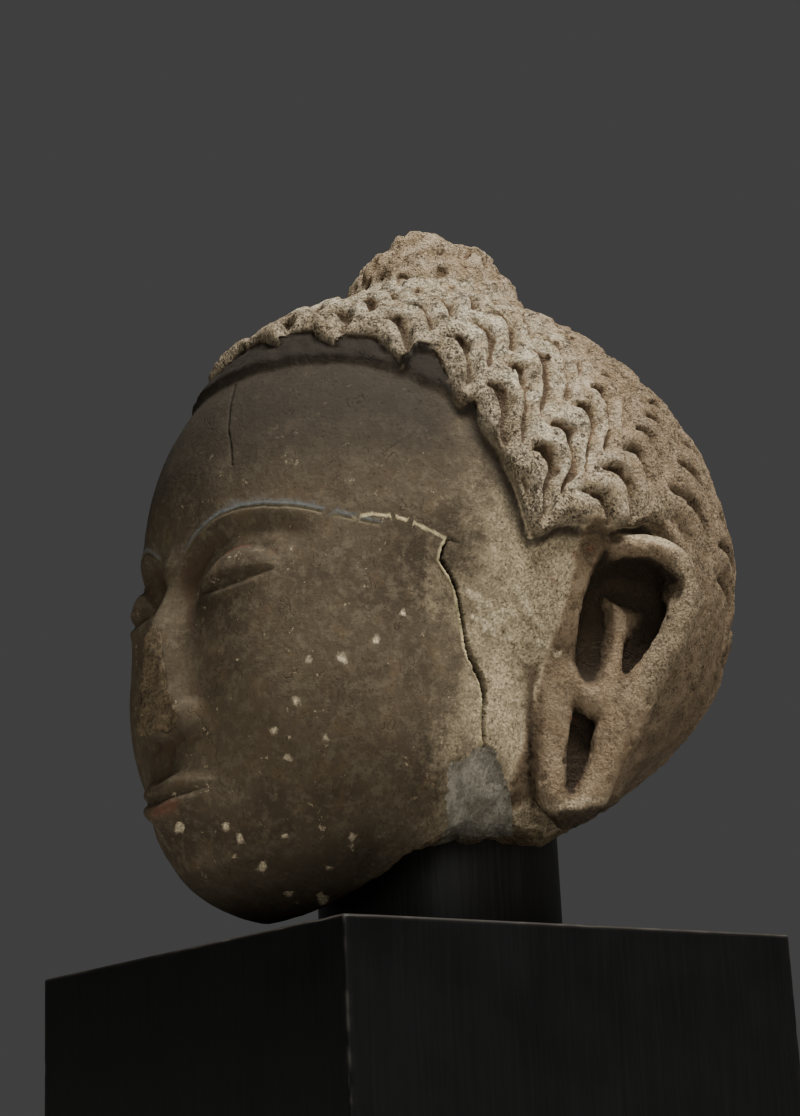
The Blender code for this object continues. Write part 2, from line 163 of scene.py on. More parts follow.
# Damage, placed by pixels of the photograph: points, or points with a radius
CRACK = [(448, 539), (443, 549), (441, 560), (449, 573), (455, 584), (459, 600), (462, 617), (465, 636),
         (469, 654), (476, 668), (481, 678), (484, 690), (485, 701), (484, 716), (483, 730), (485, 747)]
CRACK_GAP = [1.0, 1.1, 1.3, 1.4, 1.5, 1.5, 1.6, 1.8, 2.2, 2.9, 3.1, 2.8, 2.4, 2.1, 1.8, 1.6]
LIP_OFFSET = (3.0, -0.5)
HAIR_CRACKS = [[(448, 539), (459, 543)], [(235, 385), (230, 405), (228, 430), (231, 447), (232, 465)]]
BROW_CRACK = [(352, 517), (372, 514), (395, 516), (415, 523), (433, 532), (448, 539)]
PLASTER = [(485, 745), (474, 751), (463, 759), (452, 764), (447, 775), (449, 786), (444, 798), (447, 812),
           (447, 825), (438, 846), (478, 840), (514, 838), (513, 812), (511, 793), (507, 783), (504, 774),
           (499, 762), (496, 752), (490, 748)]
PLASTER_TOP_Z = 140
SCRATCHES = [[(469, 593), (483, 603), (495, 617), (508, 630), (524, 640), (541, 645), (556, 652)],
             [(474, 618), (486, 625), (500, 636), (515, 641)],
             [(517, 590), (524, 604), (531, 616), (540, 627)],
             [(478, 600), (481, 617), (487, 630)], [(500, 612), (512, 612), (522, 620)]]
CHIPS = [(504, 549, 11), (498, 541, 6), (275, 730, 5), (288, 759, 6), (262, 811, 5), (299, 811, 5),
         (309, 828, 6), (285, 839, 5), (365, 683, 5), (343, 659, 7), (308, 663, 5), (386, 694, 4),
         (427, 655, 5), (404, 611, 4), (376, 640, 4), (313, 628, 4), (240, 840, 6), (226, 826, 5),
         (330, 866, 6), (352, 838, 5), (412, 706, 4), (296, 700, 4), (325, 737, 4), (360, 774, 4),
         (181, 828, 6), (262, 866, 5), (322, 898, 7), (289, 889, 6)]
RED_TRACES = [(574, 718, 6), (573, 554, 8), (561, 566, 7), (552, 578, 5), (590, 548, 6), (577, 786, 5)]

# How deep the damage is cut, and how high its lips stand, in the head's millimetres
CRACK_DEPTH = 4.5
FINE_CRACK_DEPTH = 0.7
CRACK_LIP = 0.35
PLASTER_DEPTH = 0.9
CHIP_DEPTH = 0.55
SCRATCH_LIP = 0.35
BROW_CUT_DEPTH = 0.6

# What the finish follows: shares of 0 to 1, kept as attributes of the head's mesh
SHARES = ("hair", "ear", "crust", "hollow", "soot_and_shade", "raw", "chip", "plaster", "filler", "blue", "worn",
          "gap", "red")
# Noises of the stucco: size of a grain in millimetres, detail and roughness
STUCCO_NOISES = {"grit": (1.2, 5, 0.75), "grains": (2.8, 5, 0.72), "cloud": (11, 4, 0.55),
                 "broad": (48, 3, 0.55), "blotch": (6, 6, 0.75), "fleck": (7, 5, 0.8),
                 "pore": (1.7, 4, 0.65), "patch": (9, 4, 0.65), "crowd": (8, 3, 0.55),
                 "clay": (8, 4, 0.55), "wander": (13, 2, 0.5), "crackled": (19, 1, 0.55),
                 "coarse": (2.2, 4, 0.65), "fine": (0.8, 3, 0.55)}


def srgb(code):
    """Linear colour of an sRGB hex code."""
    parts = [int(code[i:i + 2], 16) / 255 for i in (1, 3, 5)]
    return tuple(c / 12.92 if c <= 0.04045 else ((c + 0.055) / 1.055) ** 2.4 for c in parts)


def smooth_step(low, high, value):
    t = np.clip((value - low) / (high - low), 0, 1)
    return t * t * (3 - 2 * t)


def mound(x, z, centre, radii, power=2.0):
    """A smooth bump, 1 at its centre and 0 at its rim."""
    d = ((x - centre[0]) / radii[0]) ** 2 + ((z - centre[1]) / radii[1]) ** 2
    return np.clip(1 - d, 0, 1) ** power


def groove(distance, half_width):
    return np.exp(-(distance / half_width) ** 2)


def grain(points, scale, seed, layers=3):
    """Sums of seeded waves: a smooth random field of about -1 to 1."""
    rng = np.random.default_rng(seed)
    total = np.zeros(len(points))
    for _ in range(layers * 6):
        direction = rng.normal(size=3)
        direction /= np.linalg.norm(direction)
        wave = rng.uniform(0.6, 1.6) * 2 * np.pi / scale
        total += np.sin(points @ direction * wave + rng.uniform(0, 2 * np.pi))
    return total / np.sqrt(layers * 6 / 2) / 1.6


def speckle(points, size, seed):
    """Lattice noise of -1 to 1, with grains of about the given size."""
    count = 64
    table = np.random.default_rng(seed).uniform(-1, 1, (count, count, count))
    turned = points @ np.array([[0.80, 0.36, -0.48], [-0.60, 0.48, -0.64], [0.0, 0.80, 0.60]])
    cell = np.floor(turned / size).astype(int)
    part = turned / size - cell
    part = part * part * (3 - 2 * part)
    total = np.zeros(len(points))
    for corner in range(8):
        step = np.array([corner & 1, corner >> 1 & 1, corner >> 2 & 1])
        weight = np.where(step, part, 1 - part).prod(axis=1)
        place = (cell + step) % count
        total += weight * table[place[:, 0], place[:, 1], place[:, 2]]
    return total


def lock_angles(points):
    """Angle from the hair's pole, and angle around it from the forehead's middle."""
    q = (points - SKULL_CENTRE) / SKULL_RADII
    q /= np.linalg.norm(q, axis=1)[:, None]
    pole = HAIR_POLE / np.linalg.norm(HAIR_POLE)
    front = np.array([0.0, -pole[2], pole[1]])
    theta = np.degrees(np.arccos(np.clip(q @ pole, -1, 1)))
    psi = np.degrees(np.arctan2(q[:, 0], q @ front))
    return theta, psi


def height_above_skull(points):
    q = (points - SKULL_CENTRE) / SKULL_RADII
    return (np.linalg.norm(q, axis=1) - 1) * SKULL_RADII.mean()


def lock_columns(psi):
    """The column that each angle around the pole falls in, its width, and -1 to 1 across it."""
    side = np.abs(psi)
    column = np.searchsorted(COLUMN_EDGES, side, side="right") - 1
    column = np.clip(column, 0, len(COLUMN_EDGES) - 2)
    width = COLUMN_EDGES[column + 1] - COLUMN_EDGES[column]
    return column, width, 2 * (side - COLUMN_EDGES[column]) / width - 1


def rim_fall(column, width, across):
    """How far a lock's rim falls away from its peak, and how steeply."""
    peak = LOCK_PEAKS[column]
    outer = np.clip((across - peak) / (1 - peak), 0, 1)
    inner = np.clip((peak - across) / (1 + peak), 0, 1)
    slope = OUTER_FALL[column] * 1.7 * outer ** 0.7 / (1 - peak) * 2 / width
    return OUTER_FALL[column] * outer ** 1.7 + INNER_FALL * inner ** 2, slope


def groove_cut(lock, pitch, slope, across):
    """Depth of the crescent groove, thin inside and long outside, as a share."""
    steepness = np.hypot(1, slope)
    offset = (lock - GROOVE_PLACE + (lock < 0.2)) * pitch / steepness
    swell = smooth_step(-1.0, -0.2, across) * smooth_step(1.0, 0.7, across)
    half = np.where(offset > 0, RIM_SIDE, UNDER_SIDE) * (0.5 + 0.5 * swell)
    half *= 0.7 + 0.3 / steepness
    return np.exp(-np.abs(offset / half) ** 2.8) * swell ** 0.5


def hair_relief(points):
    """Height of the hair over the scalp, how far inside its edge a point lies, its grooves, its bed."""
    theta, psi = lock_angles(points)
    theta += 0.5 * grain(points, 70, 21) + 0.25 * grain(points, 24, 23)
    psi += 0.7 * grain(points, 80, 22) + 0.4 * grain(points, 22, 24)
    side = np.abs(psi)
    column, width, across = lock_columns(psi)
    strand = column >= FIRST_STRAND_COLUMN
    open_row = column < FIRST_CLOSED_COLUMN
    ends = np.clip(1 - across ** 2, 0, 1)
    fall, slope = rim_fall(column, width, across)
    rim_angle = RIM_STARTS[column] + fall
    hairline = np.interp(side, HAIRLINE_ANGLES, HAIRLINE)
    under_rope = np.minimum(hairline, rim_angle + ROPE_END + ROPE_SWELL * ends)
    inside = (np.where(open_row, under_rope, hairline) - theta) * DEGREE_OF_ARC
    # Under the first ropes a lower, rough bed runs on to the hairline
    bed_share = open_row * smooth_step(-0.4, 1.6, hairline - theta)
    bed = bed_share * (BED_HEIGHT + 0.5 * grain(points, 9, 27))
    worn = np.where(strand, smooth_step(BARE_NAPE[0], BARE_NAPE[1], theta), 0)
    roll = np.clip(inside / 6.0, 0, 1)
    rise = HAIR_THICKNESS * (1 - 0.65 * worn) - bed
    height = bed + rise * np.sqrt(1 - (1 - roll) ** 2)
    spacing = np.where(strand, STRAND_SPACING, LOCK_SPACING)
    stagger = np.where(strand, STRAND_STAGGER * (column - FIRST_STRAND_COLUMN), 0)
    # Within a lock, 0 is its crisp upper rim and 1 the rim of the lock below
    lock = (theta - rim_angle) / spacing - stagger
    lock -= np.floor(lock)
    cut = groove_cut(lock, spacing * DEGREE_OF_ARC, slope, across)
    crest = np.clip(1 - ((lock / ROPE_SHARE - 0.35) / 0.65) ** 2, 0, 1)
    depth = LOCK_GROOVE * (1 + 0.12 * grain(points, 30, 26))
    carved = depth * cut - ROPE_CREST * crest * ends ** 0.5
    lowest = np.interp(side, NAPE_ANGLES, NAPE_WORN)
    fade = np.where(strand, smooth_step(lowest, lowest - 8, theta), 1.0)
    fade *= smooth_step(5, 16, theta) * smooth_step(1, 5, inside)
    return np.where(inside > 0, height - carved * fade, bed), inside, cut * fade, bed_share * (inside <= 0)


def brow_line(x):
    """Height of the brow's arch above a point of the face."""
    arch = np.sin(np.pi * np.clip((x - 6) / 90, 0, 1) ** 0.85)
    return BROW_Z - 4 + 17 * arch


def eye_lines(x):
    """Place along an eye, its half-open lens, and the heights of its axis, lids and crease."""
    t = (x - EYE_X) / (EYE_WIDTH / 2)
    lens = np.clip(1 - t * t, 0, 1)
    axis = EYE_Z - 2 + 1.6 * t
    upper_edge = axis + 0.5 + 1.4 * lens
    lower_edge = axis - 4.2 * lens
    crease = axis + 15.0 * np.clip(1 - (t / 1.08) ** 2, 0, 1) ** 0.7
    return t, lens, axis, upper_edge, lower_edge, crease


def eye_relief(x, z):
    """A half-closed eye: a smooth ball, a heavy upper lid, a narrow opening."""
    t, lens, axis, upper_edge, lower_edge, crease = eye_lines(x)
    near = smooth_step(1.14, 0.94, np.abs(t))
    ball = 9.0 * np.clip(1 - (t / 1.7) ** 2 - ((z - axis - 3) / 31) ** 2, 0, 1) ** 1.9
    lid = 2.3 * smooth_step(-0.6, 0.6, z - upper_edge) * smooth_step(1.0, -5.0, z - crease)
    opening = smooth_step(0.6, -0.6, z - upper_edge) * smooth_step(-0.7, 0.9, z - lower_edge)
    lower_lid = 1.1 * groove(z - lower_edge + 2.0, 2.0)
    fold = 1.7 * groove(z - crease, 1.6)
    return ball + near * (lid + lower_lid - 1.8 * opening * lens ** 0.5 - fold)


def nose_relief(points, x, z):
    """A straight nose whose front is broken away, down to a raw stump."""
    rise = np.clip((BROW_Z + 2 - z) / (BROW_Z + 2 - NOSE_BASE_Z - 8), 0, 1)
    bridge = 4 + 23 * rise ** 1.3
    width = 8.0 + 8.0 * rise ** 1.5
    nose = bridge * np.exp(-(x / width) ** 2.4) * smooth_step(NOSE_BASE_Z - 2, NOSE_BASE_Z + 5, z)
    nose *= smooth_step(BROW_Z + 12, BROW_Z - 4, z)
    wing = 12 * mound(x, z, (0.72 * WING_X, NOSE_BASE_Z + 8), (9.5, 10), 0.8)
    loss = smooth_step(EYE_Z + 2, EYE_Z - 12, z)
    whole = np.maximum(nose, wing)
    stump = 10.5 + 0.8 * grain(points, 12, 3) + (1 - loss) * 30
    nostril = 4 * mound(x, z, (9.5, NOSE_BASE_Z + 2), (5.5, 4.5), 1.0)
    return np.minimum(whole, stump) - nostril, smooth_step(-0.2, 1.2, whole - stump)


def mouth_relief(x, z):
    """Closed lips with full, even curves and quiet corners."""
    across = x / MOUTH_HALF
    line = MOUTH_Z + 2.6 * across ** 2 - 0.9 * groove(x, 6)
    span = np.clip(1 - across ** 2, 0, 1)
    low_span = np.clip(1 - (across / 0.88) ** 2, 0, 1)
    upper_height = 10.5 * span ** 0.65 - 1.8 * groove(x, 4.5) + 0.01
    lower_height = 12.5 * low_span ** 0.6 + 0.01
    up = (z - line) / upper_height
    down = (line - z) / lower_height
    upper = np.clip(1 - (1.9 * up - 0.9) ** 2, 0, 1) ** 0.8 * (up > 0) * span ** 0.5
    lower = np.clip(1 - (1.9 * down - 0.9) ** 2, 0, 1) ** 0.8 * (down > 0) * low_span ** 0.5
    swell = 6.5 * mound(x, z, (0, MOUTH_Z + 4), (50, 38), 1.5)
    corner = 1.6 * mound(x, z, (MOUTH_HALF + 3, MOUTH_Z + 3), (15, 15), 2.0)
    parting = 1.6 * groove(z - line, 1.5) * smooth_step(1.08, 0.85, across)
    philtrum = 1.8 * groove(x, 3.6) * mound(x, z, (0, MOUTH_Z + 18), (20, 11), 1.0)
    return swell + 5.2 * upper + 6.4 * lower - corner - parting - philtrum


def face_relief(points):
    """A calm, regular face: how far each point of the front stands forward, and the raw break."""
    x = np.abs(points[:, 0])
    z = points[:, 2]
    under_brow = z - brow_line(x)
    socket = mound(x, z, (0.85 * EYE_X, EYE_Z + 8), (1.3 * EYE_WIDTH, 34), 1.2)
    relief = -7.0 * socket * smooth_step(2.5, -9.0, under_brow)
    relief += 1.6 * groove(under_brow - 1, 6) * smooth_step(4, 20, x) * smooth_step(96, 66, x)
    nose, raw = nose_relief(points, x, z)
    relief += eye_relief(x, z) + nose + mouth_relief(x, z)
    relief += 2.5 * mound(x, z, (50, NOSE_BASE_Z + 14), (36, 40), 1.5)
    relief -= 3.8 * mound(x, z, (0, MOUTH_Z - 22), (28, 10), 1.2)
    relief += 5.0 * mound(x, z, (0, CHIN_Z + 20), (34, 24), 1.4)
    return relief * smooth_step(80, 62, x), raw


def break_height(points):
    """Lowest level kept: the neck's break, falling forward to the chin's underside."""
    x, y = points[:, 0], points[:, 1]
    fall = smooth_step(-26, -80, y)
    level = BREAK_Z - (BREAK_Z - CHIN_Z) * fall
    flat = np.stack([x, y, 0 * x], 1)
    rough = (1.6 * grain(flat, 22, 5) + 0.7 * speckle(flat, 6, 6)) * (1 - fall)
    return level + rough + NAPE_RISE * smooth_step(22, 96, y)


def only(obj):
    """Make an object the only selected one, and the active one."""
    bpy.ops.object.select_all(action="DESELECT")
    obj.select_set(True)
    bpy.context.view_layer.objects.active = obj


def modify(obj, kind, **settings):
    """Add a modifier with its settings and apply it."""
    only(obj)
    modifier = obj.modifiers.new(kind.title(), kind)
    for name, value in settings.items():
        setattr(modifier, name, value)
    bpy.ops.object.modifier_apply(modifier=modifier.name)


def read(what, name, width, kind=float):
    """One value or vector of each element, as an array."""
    flat = np.empty(width * len(what), kind)
    what.foreach_get(name, flat)
    return flat.reshape(-1, width)


def get_points(obj):
    return read(obj.data.vertices, "co", 3) / MM


def set_points(obj, points):
    obj.data.vertices.foreach_set("co", (points * MM).ravel())
    obj.data.update()


def get_normals(obj):
    return read(obj.data.vertex_normals, "vector", 3)


def ellipsoid(name, centre, radii, axes=None, squareness=2.0):
    """A sphere stretched to three radii, in the head's millimetres, or a squarer one."""
    bpy.ops.mesh.primitive_ico_sphere_add(subdivisions=4, radius=1)
    obj = bpy.context.object
    obj.name = name
    if squareness != 2.0:
        unit = np.array([vertex.co for vertex in obj.data.vertices])
        size = (np.abs(unit) ** squareness).sum(axis=1) ** (1 / squareness)
        obj.data.vertices.foreach_set("co", (unit / size[:, None]).ravel())
    turn = Matrix.Identity(4)
    if axes is not None:
        turn = Matrix(np.array(axes).T.tolist()).to_4x4()
    place = Matrix.Translation(np.array(centre) * MM)
    stretch = Matrix.Diagonal((*(np.array(radii) * MM), 1))
    obj.data.transform(place @ turn @ stretch)
    return obj


def join(objects, name):
    bpy.ops.object.select_all(action="DESELECT")
    for obj in objects:
        obj.select_set(True)
    bpy.context.view_layer.objects.active = objects[0]
    bpy.ops.object.join()
    joined = bpy.context.object
    joined.name = name
    return joined


def fuse(obj, voxel, rounds):
    """Make overlapping bodies one skin and soften where they meet."""
    modify(obj, "REMESH", mode="VOXEL", voxel_size=voxel * MM)
    modify(obj, "SMOOTH", factor=0.5, iterations=rounds)


def head_mass():
    """Skull, face, jaw and nape, blended as one soft mass."""
    parts = [
        ellipsoid("Skull", SKULL_CENTRE, SKULL_RADII + 1),
        ellipsoid("Face", (0, -16, 129), (100, 111, 117), squareness=2.45),
        ellipsoid("Lower face", (0, -60, 66), (68, 66, 54)),
        ellipsoid("Nape", (0, 34, 82), (84, 72, 58)),
    ]
    for side in (1, -1):
        axes = ear_axes(side)
        parts.append(ellipsoid("Jaw", (side * 44, -20, 84), (50, 62, 52)))
        parts.append(ellipsoid("Ear root", ear_point(-12, -2, -25, side), (28, 62, 15), axes))
    mass = join(parts, "Head mass")
    fuse(mass, BLEND_VOXEL, 22)
    modify(mass, "SUBSURF", levels=1, render_levels=1)
    return mass


def smooth_path(points, steps):
    """Points along a Catmull-Rom curve through the given ones."""
    p = np.array([points[0], *points, points[-1]], float)
    out = []
    for i in range(1, len(p) - 2):
        for t in np.linspace(0, 1, steps, endpoint=False):
            out.append(0.5 * (2 * p[i] + (p[i + 1] - p[i - 1]) * t
                              + (2 * p[i - 1] - 5 * p[i] + 4 * p[i + 1] - p[i + 2]) * t ** 2
                              + (3 * p[i] - p[i - 1] - 3 * p[i + 1] + p[i + 2]) * t ** 3))
    out.append(p[-2])
    return np.array(out)


def ear_point(back, up, out, side):
    point = EAR_CENTRE + back * EAR_BACK + up * EAR_UP + out * EAR_OUT
    return point * np.array([side, 1, 1])


def ear_places(points):
    """How far each point lies to the back, up and out of the ear on its side of the head."""
    local = np.stack([np.abs(points[:, 0]), points[:, 1], points[:, 2]], 1) - EAR_CENTRE
    return local @ EAR_BACK, local @ EAR_UP, local @ EAR_OUT


def ear_hollow(points):
    """Depth of the cut inside the ear: a long bowl behind the cheek and a pit under the rim's top."""
    back, up, out = ear_places(points)
    bowl = np.hypot((back + 22.5 + 0.1 * (up - 24)) / 8.5, (up - 23) / 28)
    pit = np.hypot((back + 10) / 17, (up - 45) / 10)
    share = smooth_step(1.3, 0.6, np.minimum(bowl, pit))
    return share * np.clip(out - HOLLOW_FLOOR, 0, None)


def ear_axes(side):
    axes = np.array([EAR_BACK, EAR_UP, EAR_OUT]) * np.array([side, 1, 1])
    axes[2] = np.cross(axes[0], axes[1])
    return axes


def ear(side):
    """A long ear: rolled rim, inner ridge and a slit lobe, built of fused beads."""
    axes = ear_axes(side)
    # Each path: back, up, out, half width, half thickness
    rim = [(-34, 46, -7, 6, 7), (-23, 57, -2, 6.5, 8), (-8, 63, 2, 6.5, 8), (6, 59, 4, 7, 8),
           (13, 42, 5, 7, 8), (11.5, 22, 4, 7, 8), (5, 2, 1, 8, 8), (-1, -20, -2, 11, 8),
           (-4, -40, -4, 8, 8), (-7, -57, -6, 8, 9), (-15, -66, -7, 8, 9)]
    wall = [(-23, 58, -14, 6, 11), (-6, 63, -11, 6, 12), (10, 56, -9, 6, 12), (15, 40, -8, 6, 12),
            (13, 20, -8, 6, 12), (6, 0, -9, 8, 11)]
    front = [(-36, -7, -9, 13, 10), (-32, -28, -7, 9.5, 8), (-28.5, -45, -8, 7.5, 8),
             (-24, -61, -8, 6.5, 9)]
    ridge = [(-8, 36, -19, 5, 6), (-11, 26, -13, 6, 8), (-13, 10, -8, 7, 8), (-14, -9, -5, 13, 8)]
    parts = []
    for path in (rim, wall, front, ridge):
        for back, up, out, half, thick in smooth_path(path, 10):
            parts.append(ellipsoid("Bead", ear_point(back, up, out, side),
                                   (half, half, thick), axes))
    parts.append(ellipsoid("Shell", ear_point(-8, 28, -24, side), (29, 40, 12), axes))
    parts.append(ellipsoid("Lobe back", ear_point(-17, -42, -21, side), (17, 30, 12), axes))
    return parts


def view_axes():
    """Right, up and forward of the photograph's camera, in the row's frame."""
    forward = np.array([-np.sin(VIEW_YAW) * np.cos(VIEW_PITCH), np.cos(VIEW_YAW) * np.cos(VIEW_PITCH),
                        np.sin(VIEW_PITCH)])
    level = np.array([np.cos(VIEW_YAW), np.sin(VIEW_YAW), 0])
    above = np.cross(level, forward)
    right = np.cos(VIEW_ROLL) * level + np.sin(VIEW_ROLL) * above
    up = -np.sin(VIEW_ROLL) * level + np.cos(VIEW_ROLL) * above
    return right, up, forward


def photo_pixels(points):
    """Where points of the head, in its millimetres, fall in the photograph."""
    right, up, forward = view_axes()
    d = points * MM + HEAD_SHIFT - VIEW_PLACE
    scale = LENS / SENSOR * PHOTO_SIZE[1] / (d @ forward)
    return np.stack([PHOTO_SIZE[0] / 2 + scale * (d @ right), PHOTO_SIZE[1] / 2 - scale * (d @ up)], 1)


def facing_photo(points, normals):
    """1 where the surface is turned to the photograph's camera, 0 where it is turned away."""
    d = points * MM + HEAD_SHIFT - VIEW_PLACE
    d /= np.linalg.norm(d, axis=1)[:, None]
    return smooth_step(0.02, 0.15, -(d * normals).sum(axis=1))


def distance_to_path(pixels, path):
    """Distance in pixels to a broken line, and how far along it the nearest place is, in points."""
    best = np.full(len(pixels), 1e9)
    along = np.zeros(len(pixels))
    for i in range(len(path) - 1):
        a, b = np.array(path[i], float), np.array(path[i + 1], float)
        t = np.clip((pixels - a) @ (b - a) / ((b - a) @ (b - a)), 0, 1)
        distance = np.linalg.norm(pixels - a - t[:, None] * (b - a), axis=1)
        nearer = distance < best
        best[nearer] = distance[nearer]
        along[nearer] = i + t[nearer]
    return best, along


def inside_outline(pixels, outline):
    """True inside a closed outline of pixels."""
    inside = np.zeros(len(pixels), bool)
    for (ax, ay), (bx, by) in zip(outline, outline[1:] + outline[:1]):
        crosses = (ay > pixels[:, 1]) != (by > pixels[:, 1])
        reach = ax + (pixels[:, 1] - ay) * (bx - ax) / (by - ay if by != ay else 1)
        inside ^= crosses & (pixels[:, 0] < reach)
    return inside


def hollowness(obj, rounds):
    """How far each point lies below its softened surroundings, in millimetres."""
    points = get_points(obj)
    normals = get_normals(obj)
    edges = read(obj.data.edges, "vertices", 2, np.int32)
    count = np.bincount(edges.ravel(), minlength=len(points))[:, None]
    soft = points.copy()
    for _ in range(rounds):
        total = np.stack([np.bincount(edges[:, 0], soft[edges[:, 1], k], len(points))
                          + np.bincount(edges[:, 1], soft[edges[:, 0], k], len(points))
                          for k in range(3)], 1)
        soft = 0.4 * soft + 0.6 * total / count
    return ((soft - points) * normals).sum(axis=1)


def carve(head):
    """Move the skin's points: hair, face, worn topknot and the break below."""
    points = get_points(head)
    out = (points - SKULL_CENTRE) / SKULL_RADII ** 2
    out /= np.linalg.norm(out, axis=1)[:, None]
    scalp = smooth_step(13, 6, np.abs(height_above_skull(points)))
    hair = hair_relief(points)[0] * scalp
    face = face_relief(points)[0] * smooth_step(-20, -50, points[:, 1]) * (hair == 0)
    moved = points + out * hair[:, None] + np.array([0, -1.0, 0]) * face[:, None]
    knot = smooth_step(12, 20, height_above_skull(points)) * (points[:, 2] > KNOT_FOOT_Z)
    rough = 0.7 * grain(points, 11, 11) + grain(points, 19, 12) + grain(points, 37, 13)
    moved += out * (1.7 * rough * knot)[:, None]
    floor = break_height(moved)
    moved[:, 2] = np.maximum(moved[:, 2], floor)
    outwards = EAR_OUT * np.stack([np.sign(points[:, 0]), 0 * hair + 1, 0 * hair + 1], 1)
    moved -= outwards * ear_hollow(points)[:, None]
    set_points(head, moved)


def regions(points):
    """Shares of 0 to 1 that tell hair, topknot, ears, broken face and lower break apart."""
    above = height_above_skull(points)
    near = smooth_step(26, 16, above)
    _, inside, cut, bed = hair_relief(points)
    psi_side = np.abs(lock_angles(points)[1])
    knot = smooth_step(14, 20, above) * smooth_step(KNOT_FOOT_Z - 5, KNOT_FOOT_Z + 7, points[:, 2])
    hair = smooth_step(-0.5, 2.5, inside) * near * (1 - knot)
    back, up, out = ear_places(points)
    ear_share = smooth_step(-19, -14, out) * smooth_step(-46, -40, back) * smooth_step(30, 24, back)
    ear_share *= smooth_step(75, 66, np.abs(up + 5)) * smooth_step(-58, -40, points[:, 1])
    hair *= 1 - ear_share
    front = smooth_step(-60, -80, points[:, 1])
    raw = face_relief(points)[1] * front * (np.abs(points[:, 0]) < 24)
    broken = smooth_step(4, 1.5, points[:, 2] - break_height(points)) * smooth_step(-70, -40, points[:, 1])
    # A band under the hairline and the bed under the first ropes, kept for the painted shadow of the hair
    shade = smooth_step(-15, -1, inside) * smooth_step(1, -1, inside) * (np.abs(above) < 25)
    return {"hair": hair, "knot": knot, "ear": ear_share, "raw": raw, "broken": broken,
            "crust": hair * smooth_step(42, 8, inside) * (psi_side < 100), "cut": cut, "bed": bed,
            "under_hair_shadow": np.maximum(shade, bed) * (1 - ear_share)}


def weather(head):
    """Grain, pits and crumbling, along the surface's own normals."""
    points = get_points(head)
    normals = get_normals(head)
    area = regions(points)
    coarse = area["hair"] * (1 - 0.75 * area["cut"])
    mixed = np.clip(coarse + 0.9 * area["ear"] * smooth_step(-9, 2, hollow_sign(head)), 0, 1)
    lumps = 0.38 * speckle(points, 5.5, 31) + 0.42 * speckle(points, 3.0, 32)
    lumps += 0.25 * speckle(points, 1.9, 33)
    pits = smooth_step(0.35, 0.8, speckle(points, 3.4, 34)) * smooth_step(-0.4, 0.3, speckle(points, 17, 35))
    relief = np.maximum(mixed, 0.6 * area["bed"]) * (1.0 * lumps - 1.2 * pits)
    holes = smooth_step(0.2, 0.6, speckle(points, 4.6, 36))
    crumbs = 0.9 * speckle(points, 8, 37) + 0.8 * speckle(points, 4, 38) + 0.4 * speckle(points, 2.2, 39)
    relief += area["knot"] * (1.2 * crumbs - 2.0 * holes)
    granules = 0.7 * speckle(points, 4, 41) + 0.5 * speckle(points, 2.2, 42)
    relief += np.maximum(area["raw"], area["broken"]) * granules
    skin = np.clip(1 - area["hair"] - area["knot"] - area["raw"], 0, 1)
    waves = 0.22 * speckle(points, 16, 43) + 0.10 * speckle(points, 6, 44)
    relief += skin * (waves + 0.05 * speckle(points, 2.5, 45))
    set_points(head, points + normals * relief[:, None])


def hollow_sign(head):
    """Softened height of a point over its surroundings: positive on ridges."""
    return -6 * hollowness(head, 12)


